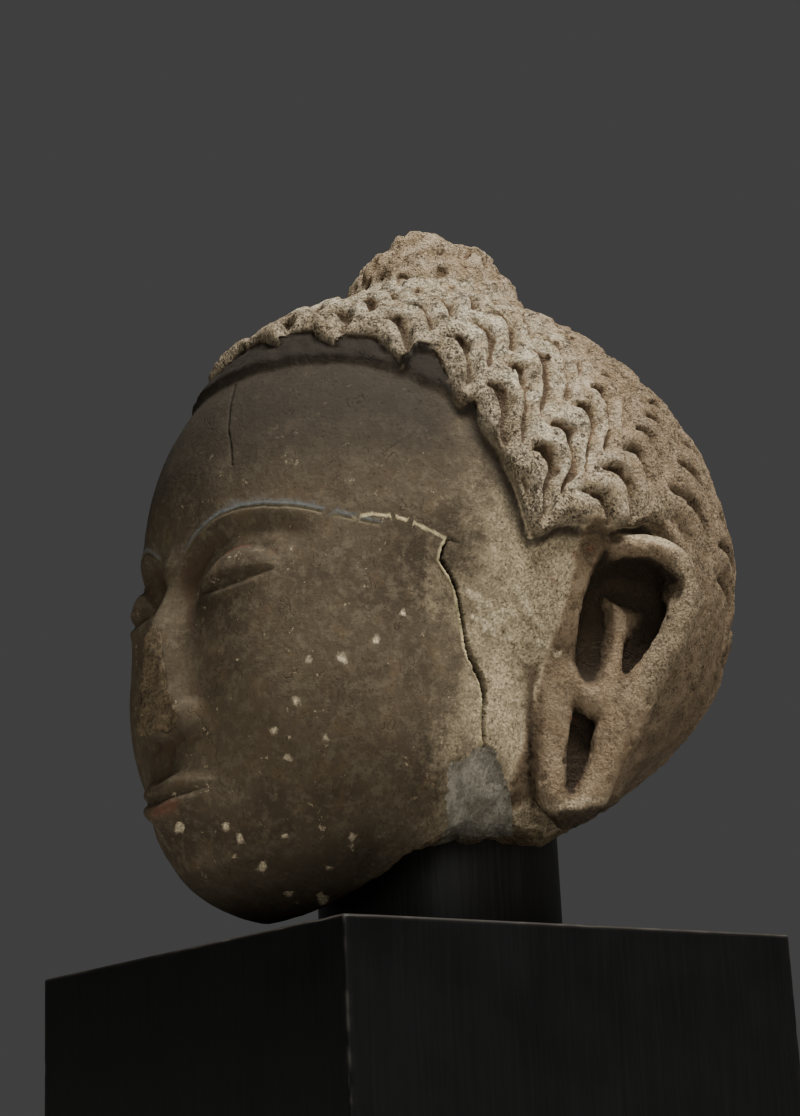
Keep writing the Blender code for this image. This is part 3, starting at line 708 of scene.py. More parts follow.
def damage(points, normals):
    """Fields of the cracks, the plaster fill, chips and scratches, placed by the photograph."""
    pixels = photo_pixels(points)
    facing = facing_photo(points, normals) * (points[:, 0] > -60)
    cheek = facing * smooth_step(-6, 2, 105 - points[:, 0]) * smooth_step(64, 50, points[:, 1])
    distance, along = distance_to_path(pixels, CRACK)
    near_crack = smooth_step(12, 9, distance) * cheek
    distance += 0.5 * speckle(points, 2.4, 51)
    gap = np.interp(along, range(len(CRACK)), CRACK_GAP)
    crack = smooth_step(1.15, 0.75, distance / gap) * cheek
    away, _ = distance_to_path(pixels + LIP_OFFSET, CRACK)
    lip = smooth_step(2.1, 1.0, away + 0.6 * speckle(points, 3, 68)) * (1 - crack) * cheek
    fine = np.zeros(len(points))
    for path in HAIR_CRACKS:
        away, _ = distance_to_path(pixels, path)
        near_crack = np.maximum(near_crack, smooth_step(5, 4, away) * cheek)
        fine = np.maximum(fine, groove(away + 0.4 * speckle(points, 2, 52), 0.8) * cheek)
    away, _ = distance_to_path(pixels, BROW_CRACK)
    filled = smooth_step(1.9, 0.9, away + 0.5 * speckle(points, 3, 66)) * cheek
    near_crack = np.maximum(near_crack, smooth_step(5, 4, away) * cheek)
    ragged = np.stack([speckle(points, 5, 53), speckle(points, 5, 54)], 1)
    plaster = inside_outline(pixels + 1.2 * ragged, PLASTER) * cheek * (points[:, 2] < PLASTER_TOP_Z)
    away, _ = distance_to_path(pixels, PLASTER + PLASTER[:1])
    plaster_edge = smooth_step(4, 3, away) * cheek * (points[:, 2] < PLASTER_TOP_Z)
    scratch = np.zeros(len(points))
    for path in SCRATCHES:
        away, _ = distance_to_path(pixels, path)
        away += 2.8 * speckle(points, 5, 55) + 2.2 * speckle(points, 2.4, 56)
        scratch = np.maximum(scratch, smooth_step(4.6, 1.2, away) * facing)
    chip = np.zeros(len(points))
    for x, y, radius in CHIPS:
        away = np.linalg.norm((pixels - (x, y)) * (1, 0.8), axis=1) / radius
        away += 0.45 * speckle(points, 3.6, 57) + 0.25 * speckle(points, 1.8, 58)
        chip = np.maximum(chip, smooth_step(0.85, 0.6, away) * cheek)
    red = np.zeros(len(points))
    for x, y, radius in RED_TRACES:
        away = np.linalg.norm(pixels - (x, y), axis=1) / radius + 0.4 * speckle(points, 4, 59)
        red = np.maximum(red, smooth_step(1.0, 0.4, away) * facing)
    x = np.abs(points[:, 0])
    front = smooth_step(-40, -60, points[:, 1])
    off_brow = points[:, 2] - brow_line(x) - 2.5 + 0.4 * speckle(points, 7, 60)
    along_brow = front * smooth_step(8, 14, x) * smooth_step(94, 86, x)
    incised = groove(off_brow, 0.75) * along_brow
    blue = groove(off_brow - 1.6, 0.9) * along_brow
    t, _, _, _, lower_edge, crease = eye_lines(x)
    lid_paint = np.maximum(groove(points[:, 2] - crease, 1.0), 0.6 * groove(points[:, 2] - lower_edge, 0.8))
    lip_paint = mound(x, points[:, 2], (0, MOUTH_Z - 5), (MOUTH_HALF, 5), 0.6)
    paint = np.maximum(lid_paint * (np.abs(t) < 1), 0.8 * lip_paint) * front
    red = np.maximum(red, paint * smooth_step(-0.5, 0.4, speckle(points, 9, 65)))
    return {"crack": crack, "lip": lip, "near_crack": near_crack, "fine": fine, "filled": filled,
            "plaster": plaster, "plaster_edge": plaster_edge, "scratch": scratch, "chip": chip, "red": red,
            "incised": incised, "blue": blue}


def refine(head, wanted):
    """Split the faces around the marked points, so that thin damage has a true shape."""
    mesh = bmesh.new()
    mesh.from_mesh(head.data)
    mesh.verts.ensure_lookup_table()
    edges = [e for e in mesh.edges if wanted[e.verts[0].index] or wanted[e.verts[1].index]]
    bmesh.ops.subdivide_edges(mesh, edges=edges, cuts=1, use_grid_fill=True)
    bmesh.ops.triangulate(mesh, faces=[f for f in mesh.faces if len(f.verts) > 3])
    mesh.to_mesh(head.data)
    mesh.free()


def break_surface(head):
    """Cut the cracks, set the plaster fill back and chip the painted skin."""
    for level in range(3):
        found = damage(get_points(head), get_normals(head))
        wanted = found["near_crack"] + found["incised"]
        if level < 2:
            wanted = wanted + found["chip"] + found["scratch"]
        if level < 1:
            wanted = wanted + found["plaster_edge"]
        refine(head, wanted > 0.02)
    points = get_points(head)
    normals = get_normals(head)
    found = damage(points, normals)
    relief = -CRACK_DEPTH * found["crack"] + CRACK_LIP * found["lip"] - FINE_CRACK_DEPTH * found["fine"]
    trowel = 0.25 * speckle(points * np.array([1, 1, 0.4]), 9, 61) + 0.15 * speckle(points, 2.5, 62)
    relief += found["plaster"] * (trowel - PLASTER_DEPTH)
    relief -= found["chip"] * (CHIP_DEPTH + 0.2 * speckle(points, 2, 63))
    lip = 0.3 * speckle(points, 2.4, 64) + SCRATCH_LIP
    relief += found["scratch"] * lip - BROW_CUT_DEPTH * found["incised"]
    set_points(head, points + normals * relief[:, None])
    return found


def write_share(obj, name, share):
    """Keep a share of 0 to 1 at each point as an attribute."""
    layer = obj.data.attributes.new(name, "FLOAT", "POINT")
    layer.data.foreach_set("value", np.clip(share, 0, 1).astype(np.float32))


def write_shares(head, found):
    """Store what the finish follows as attributes of the mesh."""
    points = get_points(head)
    normals = get_normals(head)
    area = regions(points)
    grooves = 0.8 * smooth_step(0.15, 2.0, hollowness(head, 24))
    bowls = smooth_step(0.9, 4.0, hollowness(head, 220))
    nape = smooth_step(55, 110, points[:, 1]) * smooth_step(190, 90, points[:, 2]) * (1 - area["ear"])
    # The dirt colour is painted shade in the grooves, the ears' bowls, the bed under the first ropes and on
    # the back of the hair; on the nape and the ears it is dirt and painted shade, less on the ears' ridges,
    # and on the topknot a darker tone
    behind = area["hair"] * smooth_step(-30, 90, points[:, 1])
    ridges = smooth_step(0.2, 1.4, -hollowness(head, 60))
    ear_dust_and_shade = area["ear"] * (0.64 - 0.18 * ridges)
    hollow = np.maximum.reduce([grooves, bowls, 0.95 * area["bed"], 0.6 * nape, 0.42 * behind,
                                ear_dust_and_shade, 0.3 * area["knot"]])
    # The skin is sound in front, rubbed towards the sides, less so up high, and bare sand before the ear
    worn = smooth_step(-80, 12, points[:, 1] + 14 * speckle(points, 26, 67)) * (1 - area["hair"])
    worn *= 0.45 + 0.55 * smooth_step(225, 165, points[:, 2] + 10 * speckle(points, 20, 70))
    # Painted shade on surfaces turned down, on the lower face and chin, in a band under the hairline and on
    # the bed under the first ropes; on the forehead it is soot and painted shade
    below = smooth_step(0.15, 0.75, -normals[:, 2])
    chin = smooth_step(78, 30, points[:, 2]) * smooth_step(-10, -40, points[:, 1])
    forehead = 0.8 * smooth_step(165, 240, points[:, 2]) * smooth_step(-20, -50, points[:, 1])
    soot_and_shade = np.maximum.reduce([0.6 * below * chin, 0.9 * area["under_hair_shadow"], 0.2 * chin,
                              0.4 * below * (1 - chin), forehead * (1 - area["hair"])])
    # The tip of the lobe is broken off: a pale raw rim over a dark underside
    back, up, _ = ear_places(points)
    rim_crust = 0.8 * area["ear"] * smooth_step(-30, 0, up) * smooth_step(-6, 4, back)
    above_tip = up + 58 - 0.45 * back + 1.5 * speckle(points, 5, 69)
    left_ear = area["ear"] * (points[:, 0] > 0)
    tip = left_ear * smooth_step(0.5, -2, above_tip)
    raw_rim = left_ear * groove(above_tip - 1.5, 1.6)
    soot_and_shade = np.maximum(soot_and_shade, 0.85 * tip)
    shares = {
        "hair": np.maximum(area["hair"], area["knot"]),
        "ear": area["ear"],
        # On the back of the hair the crust colour is painted shade
        "crust": np.maximum.reduce([area["crust"], 0.6 * behind, rim_crust]),
        "hollow": hollow,
        "soot_and_shade": soot_and_shade,
        "raw": np.maximum(area["raw"], area["broken"]),
        "chip": np.maximum.reduce([found["chip"], found["scratch"], 0.8 * raw_rim]),
        "plaster": found["plaster"],
        "filler": np.maximum.reduce([found["lip"], 0.9 * found["filled"], 0.3 * found["incised"]]),
        "blue": found["blue"],
        "worn": worn,
        # The dark inside the cracks and the incised brow line, and the same dark on the bed under the first
        # ropes and in the ears' bowls, is painted shade
        "gap": np.maximum.reduce([found["crack"], 0.8 * found["fine"], 0.55 * found["incised"],
                                  0.5 * area["bed"], 0.6 * bowls * area["ear"]]),
        "red": found["red"],
    }
    for name in SHARES:
        write_share(head, name, shares[name])


def cylinder(name, radius, low, high):
    """A round body about the post's axis, between two heights."""
    bpy.ops.object.select_all(action="DESELECT")
    bpy.ops.mesh.primitive_cylinder_add(vertices=ROUND_SIDES, radius=radius, depth=high - low,
                                        location=(0, POST_CENTRE_Y, (low + high) / 2))
    obj = bpy.context.object
    obj.name = name
    return obj


def cut_socket(head):
    """Hollow out the place of the post, as in the solid."""
    cutter = cylinder("Socket", POST_RADIUS + SOCKET_GAP, BLOCK_HIGH[2], POST_HIGH[2] + SOCKET_GAP)
    modify(head, "BOOLEAN", operation="DIFFERENCE", solver="EXACT", object=cutter)
    bpy.data.objects.remove(cutter, do_unlink=True)


def model_head():
    """The whole head, from soft masses to chips and cracks."""
    mass = head_mass()
    topknot = ellipsoid("Topknot", KNOT_CENTRE, KNOT_RADII)
    head = join([mass] + ear(1) + ear(-1) + [topknot], "head_carving")
    fuse(head, CARVING_VOXEL, 4)
    carve(head)
    fuse(head, SURFACE_VOXEL, 2)
    weather(head)
    modify(head, "DECIMATE", ratio=min(1.0, HEAD_FACES / (2 * len(head.data.polygons))),
           use_collapse_triangulate=True)
    found = break_surface(head)
    write_shares(head, found)
    head.data.transform(Matrix.Translation(HEAD_SHIFT))
    cut_socket(head)
    points = read(head.data.vertices, "co", 3)
    head.data.vertices.foreach_set("co", np.clip(points, HEAD_LOW, HEAD_HIGH).ravel())
    only(head)
    bpy.ops.object.shade_smooth()
    return head


def add_node(tree, kind, inputs, result=0, **settings):
    """Add a node; an input is a value, a colour or the result that feeds it. Gives its own result."""
    node = tree.nodes.new("ShaderNode" + kind)
    for name, value in settings.items():
        setattr(node, name, value)
    for key, value in inputs.items():
        if isinstance(value, bpy.types.NodeSocket):
            tree.links.new(value, node.inputs[key])
        else:
            node.inputs[key].default_value = (*value, 1) if isinstance(value, Color) else value
    return node.outputs[result]


def new_material(name, roughness):
    """A material with its node tree, its shader and the object's own coordinates."""
    material = bpy.data.materials.new(name)
    material.use_nodes = True
    tree = material.node_tree
    shader = tree.nodes["Principled BSDF"]
    shader.inputs["Roughness"].default_value = roughness
    return material, tree, shader, add_node(tree, "TexCoord", {}, "Object")


def per_mm(size):
    """Scale of a noise whose grains are about this many millimetres."""
    return 1000 / size


def weigh(tree, *parts):
    """Add fields up, each times its weight."""
    total = 0.0
    for field, weight in parts:
        total = add_node(tree, "Math", {0: field, 1: weight, 2: total}, operation="MULTIPLY_ADD")
    return total


def fade(tree, parts, low, high, most=1.0, least=0.0):
    """How much of a coat shows: softly from least to most, as the weighed fields pass from low to high."""
    return add_node(tree, "MapRange", {"Value": weigh(tree, *parts), "From Min": low, "From Max": high,
                                       "To Min": least, "To Max": most}, interpolation_type="SMOOTHSTEP")


def lay_coats(tree, colour, *coats):
    """Lay coats over a colour, one after the other: how much of each shows, and its own colour."""
    for amount, over in coats:
        colour = add_node(tree, "Mix", {0: amount, 6: colour, 7: over}, 2, data_type="RGBA")
    return colour


def dress(tree, shader, colour, height, strength, distance):
    """Give a dull surface its colour and its fine relief."""
    tree.links.new(colour, shader.inputs["Base Color"])
    bump = add_node(tree, "Bump", {"Height": height, "Strength": strength, "Distance": distance})
    tree.links.new(bump, shader.inputs["Normal"])
    shader.inputs["Specular IOR Level"].default_value = DULL_SPECULAR


def stucco_material(look):
    """Lime stucco: modelled wet, once painted, then worn to sand, patched and sooted.

    The eye gets a matt, dry surface: a tight brown skin on the face that is rubbed to sand towards the ears,
    open sandy grain with dark pits on hair, ears and breaks, the pits of hair and ears painted shade, dirt
    and painted shade in every hollow, and painted shade with the soot under things and under the hair.
    """
    material, tree, shader, place = new_material("Weathered lime stucco", 0.9)
    noise = {}
    for name, (size, detail, roughness) in STUCCO_NOISES.items():
        noise[name] = add_node(tree, "TexNoise", {"Vector": place, "Scale": per_mm(size),
                                                  "Detail": detail, "Roughness": roughness})
    share = {}
    for name in SHARES:
        share[name] = add_node(tree, "Attribute", {}, "Fac", attribute_name=name)
    cloud, grit, grains = noise["cloud"], noise["grit"], noise["grains"]
    hair, hollow, worn = share["hair"], share["hollow"], share["worn"]
    sandy = add_node(tree, "Math", {0: hair, 1: weigh(tree, (share["ear"], 0.75))}, operation="MAXIMUM")

    # Face: an even brown skin in soft clouds, with upright brush lines
    upright = add_node(tree, "Mapping", {"Vector": place, "Scale": (1, 1, 0.12)})
    brush = add_node(tree, "TexNoise", {"Vector": upright, "Scale": per_mm(1.8), "Detail": 2,
                                        "Roughness": 0.5})
    # Towards the ears the skin is rubbed, in soft patches, down to fine sand
    rubbed = lay_coats(tree, look.rubbed, (fade(tree, [(grit, 1)], 0.4, 0.62, 0.5), look.rubbed_dark))
    bare = fade(tree, [(worn, 1), (cloud, 0.6), (grains, 0.6)], 0.75, 1.45, 0.9)
    pores = fade(tree, [(worn, 0.05), (noise["pore"], 1)], 0.62, 0.68, 0.75)
    skin = lay_coats(tree, look.skin,
                     (fade(tree, [(noise["broad"], 1)], 0.38, 0.66), look.skin_dark),
                     (fade(tree, [(cloud, 1)], 0.5, 0.72, 0.5), look.skin_warm),
                     (fade(tree, [(brush, 1)], 0.5, 0.72, 0.2), look.skin_dark),
                     (fade(tree, [(noise["blotch"], 1)], 0.45, 0.64, 0.45), look.skin_grey),
                     (bare, rubbed),
                     (fade(tree, [(noise["fleck"], 1)], 0.63, 0.67, 0.45), look.rubbed),
                     (pores, look.speck))

    # Hair, topknot and ears: open sand, pale on the crests; the warmer, darker sand in the hollows is partly
    # painted shade, and the dark of its pits is painted shade
    crusted = lay_coats(tree, look.sand_dark, (fade(tree, [(grit, 1)], 0.42, 0.6), look.crust))
    # Pits crowd together on the crests and leave the ground between the locks smooth
    crowd = [(noise["crowd"], 0.3), (hollow, -0.12)]
    small_pits = fade(tree, [(grit, 1), *crowd], 0.66, 0.75)
    large_pits = fade(tree, [(grains, 1), *crowd], 0.7, 0.78)
    # Dark pits: painted shade where the relief sinks
    dark_pits = []
    for pits, most, least in ((small_pits, 0.75, 0.35), (large_pits, 0.8, 0.3)):
        in_hair = fade(tree, [(hair, 1)], 0, 1, most, least)
        dark = add_node(tree, "Math", {0: pits, 1: in_hair}, operation="MULTIPLY")
        dark_pits.append((dark, look.speck))
    sand = lay_coats(tree, look.sand,
                     (fade(tree, [(cloud, 1)], 0.35, 0.65), look.sand_dark),
                     (fade(tree, [(hollow, 1)], 0.05, 0.5, 0.8), look.sand_warm),
                     (fade(tree, [(share["crust"], 1), (noise["patch"], 0.9)], 0.8, 1.25, 0.7), crusted),
                     *dark_pits)

    # Over both: raw breaks, dirt and painted shade in hollows, soot and painted shade below things and under
    # the hair, chips, the plaster fill, traces of paint and the cracks, their dark inside painted shade
    raw = fade(tree, [(share["raw"], 1), (grit, 0.3)], 0.35, 0.75)
    broken = lay_coats(tree, look.broken, (fade(tree, [(grains, 1)], 0.45, 0.65, 0.6), look.speck))
    chipped = add_node(tree, "Math", {0: share["chip"], 1: fade(tree, [(grit, 1)], 0.3, 0.6, 0.3, 1)},
                       operation="MULTIPLY")
    clay = lay_coats(tree, look.plaster, (fade(tree, [(noise["clay"], 1)], 0.4, 0.65), look.plaster_dark))
    filler = lay_coats(tree, look.filler, (fade(tree, [(cloud, 1)], 0.42, 0.6), look.filler_green))
    colour = lay_coats(tree, skin,
                       (sandy, sand),
                       (raw, broken),
                       (fade(tree, [(hollow, 1), (cloud, 0.35)], 0.3, 1.05, 0.88), look.dirt_and_shade),
                       (fade(tree, [(share["soot_and_shade"], 1), (cloud, 0.5)], 0.35, 1.2, 0.88), look.soot_and_shade),
                       (chipped, look.chip),
                       (fade(tree, [(share["plaster"], 1)], 0.4, 0.6), clay),
                       (fade(tree, [(share["red"], 1), (grit, 0.4)], 0.5, 1.2, 0.4), look.red),
                       (weigh(tree, (share["blue"], 0.5)), look.blue),
                       (share["filler"], filler),
                       (share["gap"], look.gap))

    # Short worm-like cracks of dried lime
    off_middle = add_node(tree, "Math", {0: noise["wander"], 1: 0.5}, operation="SUBTRACT")
    wander = add_node(tree, "Math", {0: off_middle}, operation="ABSOLUTE")
    lines = fade(tree, [(wander, 1)], 0, 0.009, 0, 1)
    places = fade(tree, [(noise["crackled"], 1)], 0.6, 0.64)
    crackle = add_node(tree, "Math", {0: lines, 1: places}, operation="MULTIPLY")
    # Sand that stands out, and pits that sink, more where the skin is gone
    open_grain = add_node(tree, "Math", {0: sandy, 1: raw}, operation="MAXIMUM")
    open_grain = add_node(tree, "Math", {0: open_grain, 1: weigh(tree, (worn, 0.5))}, operation="MAXIMUM")
    pits = weigh(tree, (small_pits, 1.2), (large_pits, 2.0))
    stones = weigh(tree, (noise["coarse"], 5.0), (noise["fine"], 1))
    sunk = add_node(tree, "Math", {0: pits, 1: fade(tree, [(open_grain, 1)], 0, 1)}, operation="MULTIPLY")
    loose = fade(tree, [(open_grain, 1)], 0, 1, 1, 0.08)
    raised = add_node(tree, "Math", {0: stones, 1: loose}, operation="MULTIPLY")
    height = weigh(tree, (raised, 1), (brush, 0.1), (sunk, -1), (pores, -0.3), (crackle, -0.3))
    dress(tree, shader, colour, height, 1.0, 0.0012)
    return material


def paint_material(name, colour, worn, roughness, brush_width):
    """Black brushed paint over wood or metal: satin, with upright brush lines, and the worn colour on rubbed
    arrises and as a painted highlight along edges.
    """
    material, tree, shader, place = new_material(name, roughness)
    # Real brush hairs are finer; these lines are drawn as wide as they need to be to show
    upright = add_node(tree, "Mapping", {"Vector": place, "Scale": (1, 1, 0.03)})
    brush = add_node(tree, "TexNoise", {"Vector": upright, "Scale": per_mm(brush_width), "Detail": 4,
                                        "Roughness": 0.6})
    cloud = add_node(tree, "TexNoise", {"Vector": place, "Scale": per_mm(40), "Detail": 3})
    tone = add_node(tree, "MapRange", {"Value": brush, "From Min": 0.35, "From Max": 0.7})
    wear_and_highlight = add_node(tree, "Attribute", {}, "Fac", attribute_name="wear_and_highlight")
    painted = lay_coats(tree, colour, (tone, colour * 1.9), (wear_and_highlight, worn))
    gloss = add_node(tree, "MapRange", {"Value": cloud, "From Min": 0.3, "From Max": 0.7,
                                        "To Min": roughness - 0.08, "To Max": roughness + 0.12})
    tree.links.new(gloss, shader.inputs["Roughness"])
    dress(tree, shader, painted, brush, 0.5, 0.0002)
    return material


def model_post(look):
    """A round post with eased ends."""
    post = cylinder("post_round", POST_RADIUS, POST_LOW[2], POST_HIGH[2])
    bpy.ops.object.transform_apply(location=True, rotation=True, scale=True)
    modify(post, "BEVEL", width=look.post_edge, segments=3, limit_method="ANGLE")
    write_share(post, "wear_and_highlight", np.zeros(len(post.data.vertices)))
    only(post)
    bpy.ops.object.shade_smooth_by_angle(angle=SMOOTH_ANGLE)
    return post


def model_block(look):
    """A square block with eased, slightly dented arrises, its paint rubbed off here and there, and a painted
    highlight along its top edge.
    """
    bpy.ops.object.select_all(action="DESELECT")
    centre = (np.array(BLOCK_LOW) + np.array(BLOCK_HIGH)) / 2
    size = np.array(BLOCK_HIGH) - np.array(BLOCK_LOW)
    bpy.ops.mesh.primitive_cube_add(size=1, location=centre, scale=size)
    block = bpy.context.object
    block.name = "block_square"
    bpy.ops.object.transform_apply(location=True, rotation=True, scale=True)
    bpy.ops.object.mode_set(mode="EDIT")
    bpy.ops.mesh.select_all(action="SELECT")
    bpy.ops.mesh.subdivide(number_cuts=BLOCK_CUTS)
    bpy.ops.object.mode_set(mode="OBJECT")
    modify(block, "BEVEL", width=look.block_edge, segments=3, limit_method="ANGLE")
    points = read(block.data.vertices, "co", 3)
    half = size / 2
    from_face = np.sort(half - np.abs(points - centre), axis=1)
    from_edge = from_face[:, 1] * 1000
    mm = points * 1000
    edge = smooth_step(1.5, 0.2, from_edge)
    # The top edge gets the worn colour all along as a painted highlight; the upright arrises are rubbed only
    # here and there
    top_edge_highlight = smooth_step(0.003, 0.001, BLOCK_HIGH[2] - points[:, 2])
    dents = edge * smooth_step(0.2, 0.8, speckle(mm, 9, 71)) * look.dent
    inward = np.sign(centre - points) * (half - np.abs(points - centre) < BLOCK_EDGE_ZONE)
    points += inward * dents[:, None]
    block.data.vertices.foreach_set("co", np.clip(points, BLOCK_LOW, BLOCK_HIGH).ravel())
    spots = smooth_step(0.0, 0.7, speckle(mm, 6, 72))
    write_share(block, "wear_and_highlight", edge * np.maximum(top_edge_highlight * (0.6 + 0.4 * spots), 0.45 * spots))
    only(block)
    bpy.ops.object.shade_smooth_by_angle(angle=SMOOTH_ANGLE)
    return block


def length_property(name, default, description):
    return bpy.props.FloatProperty(name=name, description=description, default=default, min=0.0,
                                   unit="LENGTH")


def colour_property(name, code, description):
    return bpy.props.FloatVectorProperty(name=name, description=description, subtype="COLOR", size=3,
                                         min=0, max=1, default=srgb(code))


class StuccoLook(bpy.types.PropertyGroup):
    """Colours of the stucco, its dirt, painted shade, repairs and traces of paint"""
    skin: colour_property("Skin", "#4E4435", "Brown skin of the face")
    skin_dark: colour_property("Dark skin", "#3D3428", "Darker clouds and brush lines of the face")
    skin_warm: colour_property("Warm skin", "#5A4A35", "Warmer patches of the face")
    skin_grey: colour_property("Grey skin", "#695F4C", "Small greyer blotches of the face")
    rubbed: colour_property("Rubbed skin", "#C4B291", "Sand where the skin is rubbed off, by the ears")
    rubbed_dark: colour_property("Dark rubbed skin", "#94815F", "Darker grains of the rubbed skin")
    sand: colour_property("Sand", "#DACBAE", "Bright sandy grain of the hair")
    sand_dark: colour_property("Dark sand", "#B5A282", "Darker sandy grain")
    # Warm sand colour, which darkens the hollows between the locks, partly as painted shade
    sand_warm: colour_property("Warm sand", "#96795A", "Warmer, finer stucco low down between the locks")
    # Crust colour, which also paints shade on the back of the hair
    crust: colour_property("Crust", "#5A5246", "Dark grey crust on the locks by the hairline")
    # Speck colour, which in the pits of hair, ears and topknot is painted shade
    speck: colour_property("Specks", "#4E4233", "Dark grains and pits")
    broken: colour_property("Broken stucco", "#8A785C", "Inside of the stucco where it is broken")
    chip: colour_property("Chips", "#D3C3A2", "Chips of the skin")
    # Dirt colour, which also paints shade in grooves and hollows, on the bed under the first ropes and on
    # the back of the hair
    dirt_and_shade: colour_property("Dirt", "#46382A", "Dirt in grooves and hollows")
    # Soot colour, which also paints shade under the chin, on surfaces turned down and under the hair
    soot_and_shade: colour_property("Soot", "#2C2720", "Soot on the forehead, under the chin and by the hair")
    plaster: colour_property("Plaster", "#8C8677", "Modern plaster fill")
    plaster_dark: colour_property("Dark plaster", "#787264", "Darker clouds of the fill")
    filler: colour_property("Crack filler", "#C2B188", "Pale filler at the lips of the crack")
    filler_green: colour_property("Old filler", "#8C8263", "Greener filler in the cut brow")
    blue: colour_property("Blue traces", "#6B7377", "Grey-blue line over the brow")
    # Crack colour: painted shade inside the cracks, also used on the bed under the first ropes and in the
    # ears' bowls
    gap: colour_property("Crack", "#14110D", "Dark inside of the crack")
    red: colour_property("Red traces", "#7F4537", "Traces of red paint")


class StandLook(bpy.types.PropertyGroup):
    """Paint and edges of the post and the block"""
    post: colour_property("Post", "#1B1A19", "Black paint of the post")
    block: colour_property("Block", "#060606", "Black paint of the block")
    # The worn colour also paints the highlight along the block's top edge
    worn: colour_property("Worn edge", "#4C4740", "Where the paint is rubbed off the arrises")
    post_edge: length_property("Post edge", 0.0015, "Width of the post's eased ends")
    block_edge: length_property("Block edge", 0.0012, "Width of the block's eased arrises")
    dent: length_property("Dents", 0.0005, "Depth of the dents along the block's arrises")


class StageLook(bpy.types.PropertyGroup):
    """Floor, air and lights"""
    floor: colour_property("Floor", "#D9D6D0", "Pale floor")
    air: colour_property("Air", "#8C8C8C", "Even grey around the object")
    air_strength: bpy.props.FloatProperty(name="Air strength", description="Brightness of the even light",
                                          default=0.22, min=0)
    key_size: length_property("Key size", 0.5, "Side of the main soft light")
    fill_size: length_property("Fill size", 1.0, "Side of the second soft light")
    key_power: bpy.props.FloatProperty(name="Key light", description="Power of the main soft light",
                                       default=44, min=0, unit="POWER")
    fill_power: bpy.props.FloatProperty(name="Fill light", description="Power of the second soft light",
                                        default=9, min=0, unit="POWER")


def finish_piece(piece, node, material):
    """Put the material on a piece, hang it from the root body and hide the frame's part that it replaces."""
    piece.data.materials.clear()
    piece.data.materials.append(material)
    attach(piece, "root")
    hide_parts(node)


class OBJECT_OT_stucco_head(bpy.types.Operator):
    """Carve the head with its hair, ears, topknot, breaks and plaster fill"""
    bl_idname = "object.stucco_head"
    bl_label = "Stucco head"

    def execute(self, context):
        finish_piece(model_head(), "stucco_head", stucco_material(context.scene.stucco_look))
        return {"FINISHED"}


class OBJECT_OT_round_post(bpy.types.Operator):
    """Make the round black post that carries the head"""
    bl_idname = "object.round_post"
    bl_label = "Post"

    def execute(self, context):
        look = context.scene.stand_look
        material = paint_material("Brushed black paint on the post", look.post, look.worn, 0.42, 1.2)
        finish_piece(model_post(look), "post", material)
        return {"FINISHED"}


class OBJECT_OT_foot_block(bpy.types.Operator):
    """Make the square black foot block"""
    bl_idname = "object.foot_block"
    bl_label = "Foot block"

    def execute(self, context):
        look = context.scene.stand_look
        material = paint_material("Brushed black paint on wood", look.block, look.worn, 0.5, 1.6)
        finish_piece(model_block(look), "foot_block", material)
        return {"FINISHED"}


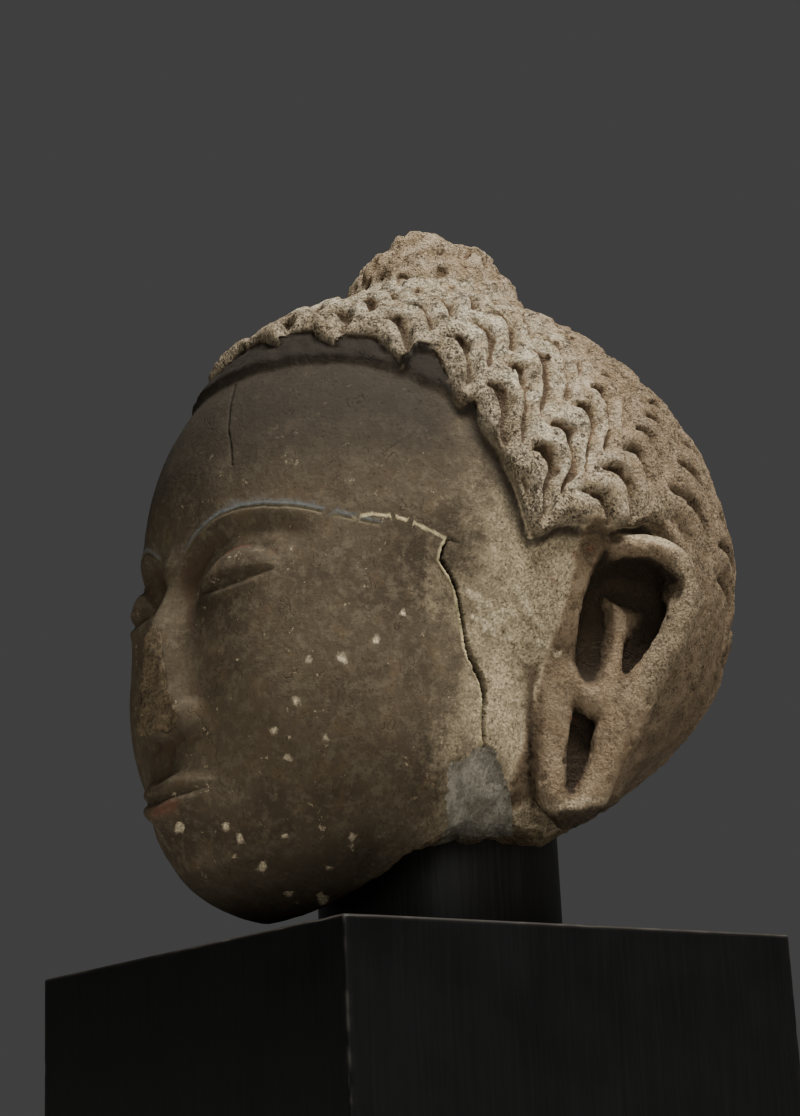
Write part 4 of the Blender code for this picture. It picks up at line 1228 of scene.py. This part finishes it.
class SCENE_OT_plain_studio(bpy.types.Operator):
    """Set a pale floor, soft lights and the camera at the photograph's angle"""
    bl_idname = "scene.plain_studio"
    bl_label = "Studio and camera"

    def execute(self, context):
        look = context.scene.stage_look
        bpy.ops.object.select_all(action="DESELECT")
        bpy.ops.mesh.primitive_circle_add(vertices=96, radius=FLOOR_RADIUS, fill_type="NGON",
                                          location=(0, 0, -FLOOR_DROP))
        floor = context.object
        floor.name = "studio_floor"
        bpy.ops.object.transform_apply(location=True)
        material, _, shader, _ = new_material("Pale studio floor", 0.8)
        shader.inputs["Base Color"].default_value = (*look.floor, 1)
        floor.data.materials.append(material)

        world = bpy.data.worlds.new("Even studio air")
        world.use_nodes = True
        context.scene.world = world
        air = world.node_tree.nodes["Background"]
        air.inputs["Color"].default_value = (*look.air, 1)
        air.inputs["Strength"].default_value = look.air_strength

        lights = {"Key light": (KEY_PLACE, look.key_size, look.key_power),
                  "Fill light": (FILL_PLACE, look.fill_size, look.fill_power)}
        for name, (place, size, power) in lights.items():
            bpy.ops.object.light_add(type="AREA", radius=1, location=place)
            light = context.object
            light.name = name
            light.data.size = size
            light.data.energy = power
            light.rotation_euler = (Vector(LIT_POINT) - Vector(place)).to_track_quat("-Z", "Y").to_euler()

        right, up, forward = view_axes()
        turn = Matrix(np.stack([right, up, -forward], 1).tolist()).to_4x4()
        bpy.ops.object.camera_add()
        camera = context.object
        camera.name = "Photograph view"
        camera.matrix_world = Matrix.Translation(VIEW_PLACE) @ turn
        camera.data.lens = LENS
        camera.data.sensor_width = SENSOR
        camera.data.clip_start = 0.01
        context.scene.camera = camera
        return {"FINISHED"}


OPERATORS = (OBJECT_OT_stucco_head, OBJECT_OT_round_post, OBJECT_OT_foot_block, SCENE_OT_plain_studio)


class VIEW3D_PT_stucco_head(bpy.types.Panel):
    bl_label = "Stucco head"
    bl_idname = "VIEW3D_PT_stucco_head"
    bl_space_type = "VIEW_3D"
    bl_region_type = "UI"
    bl_category = "Head"

    def draw(self, context):
        for operator in OPERATORS:
            self.layout.operator(operator.bl_idname)
        for name in LOOKS:
            look = getattr(context.scene, name)
            for field in LOOKS[name].__annotations__:
                self.layout.prop(look, field)


LOOKS = {"stucco_look": StuccoLook, "stand_look": StandLook, "stage_look": StageLook}


def register():
    for cls in (*LOOKS.values(), *OPERATORS, VIEW3D_PT_stucco_head):
        bpy.utils.register_class(cls)
    for name, cls in LOOKS.items():
        setattr(bpy.types.Scene, name, bpy.props.PointerProperty(type=cls))


def unregister():
    for name in LOOKS:
        delattr(bpy.types.Scene, name)
    for cls in reversed((*LOOKS.values(), *OPERATORS, VIEW3D_PT_stucco_head)):
        bpy.utils.unregister_class(cls)


def main():
    register()
    bpy.ops.scene.plain_studio()
    bpy.ops.object.foot_block()
    bpy.ops.object.round_post()
    bpy.ops.object.stucco_head()


if __name__ == "__main__":
    main()
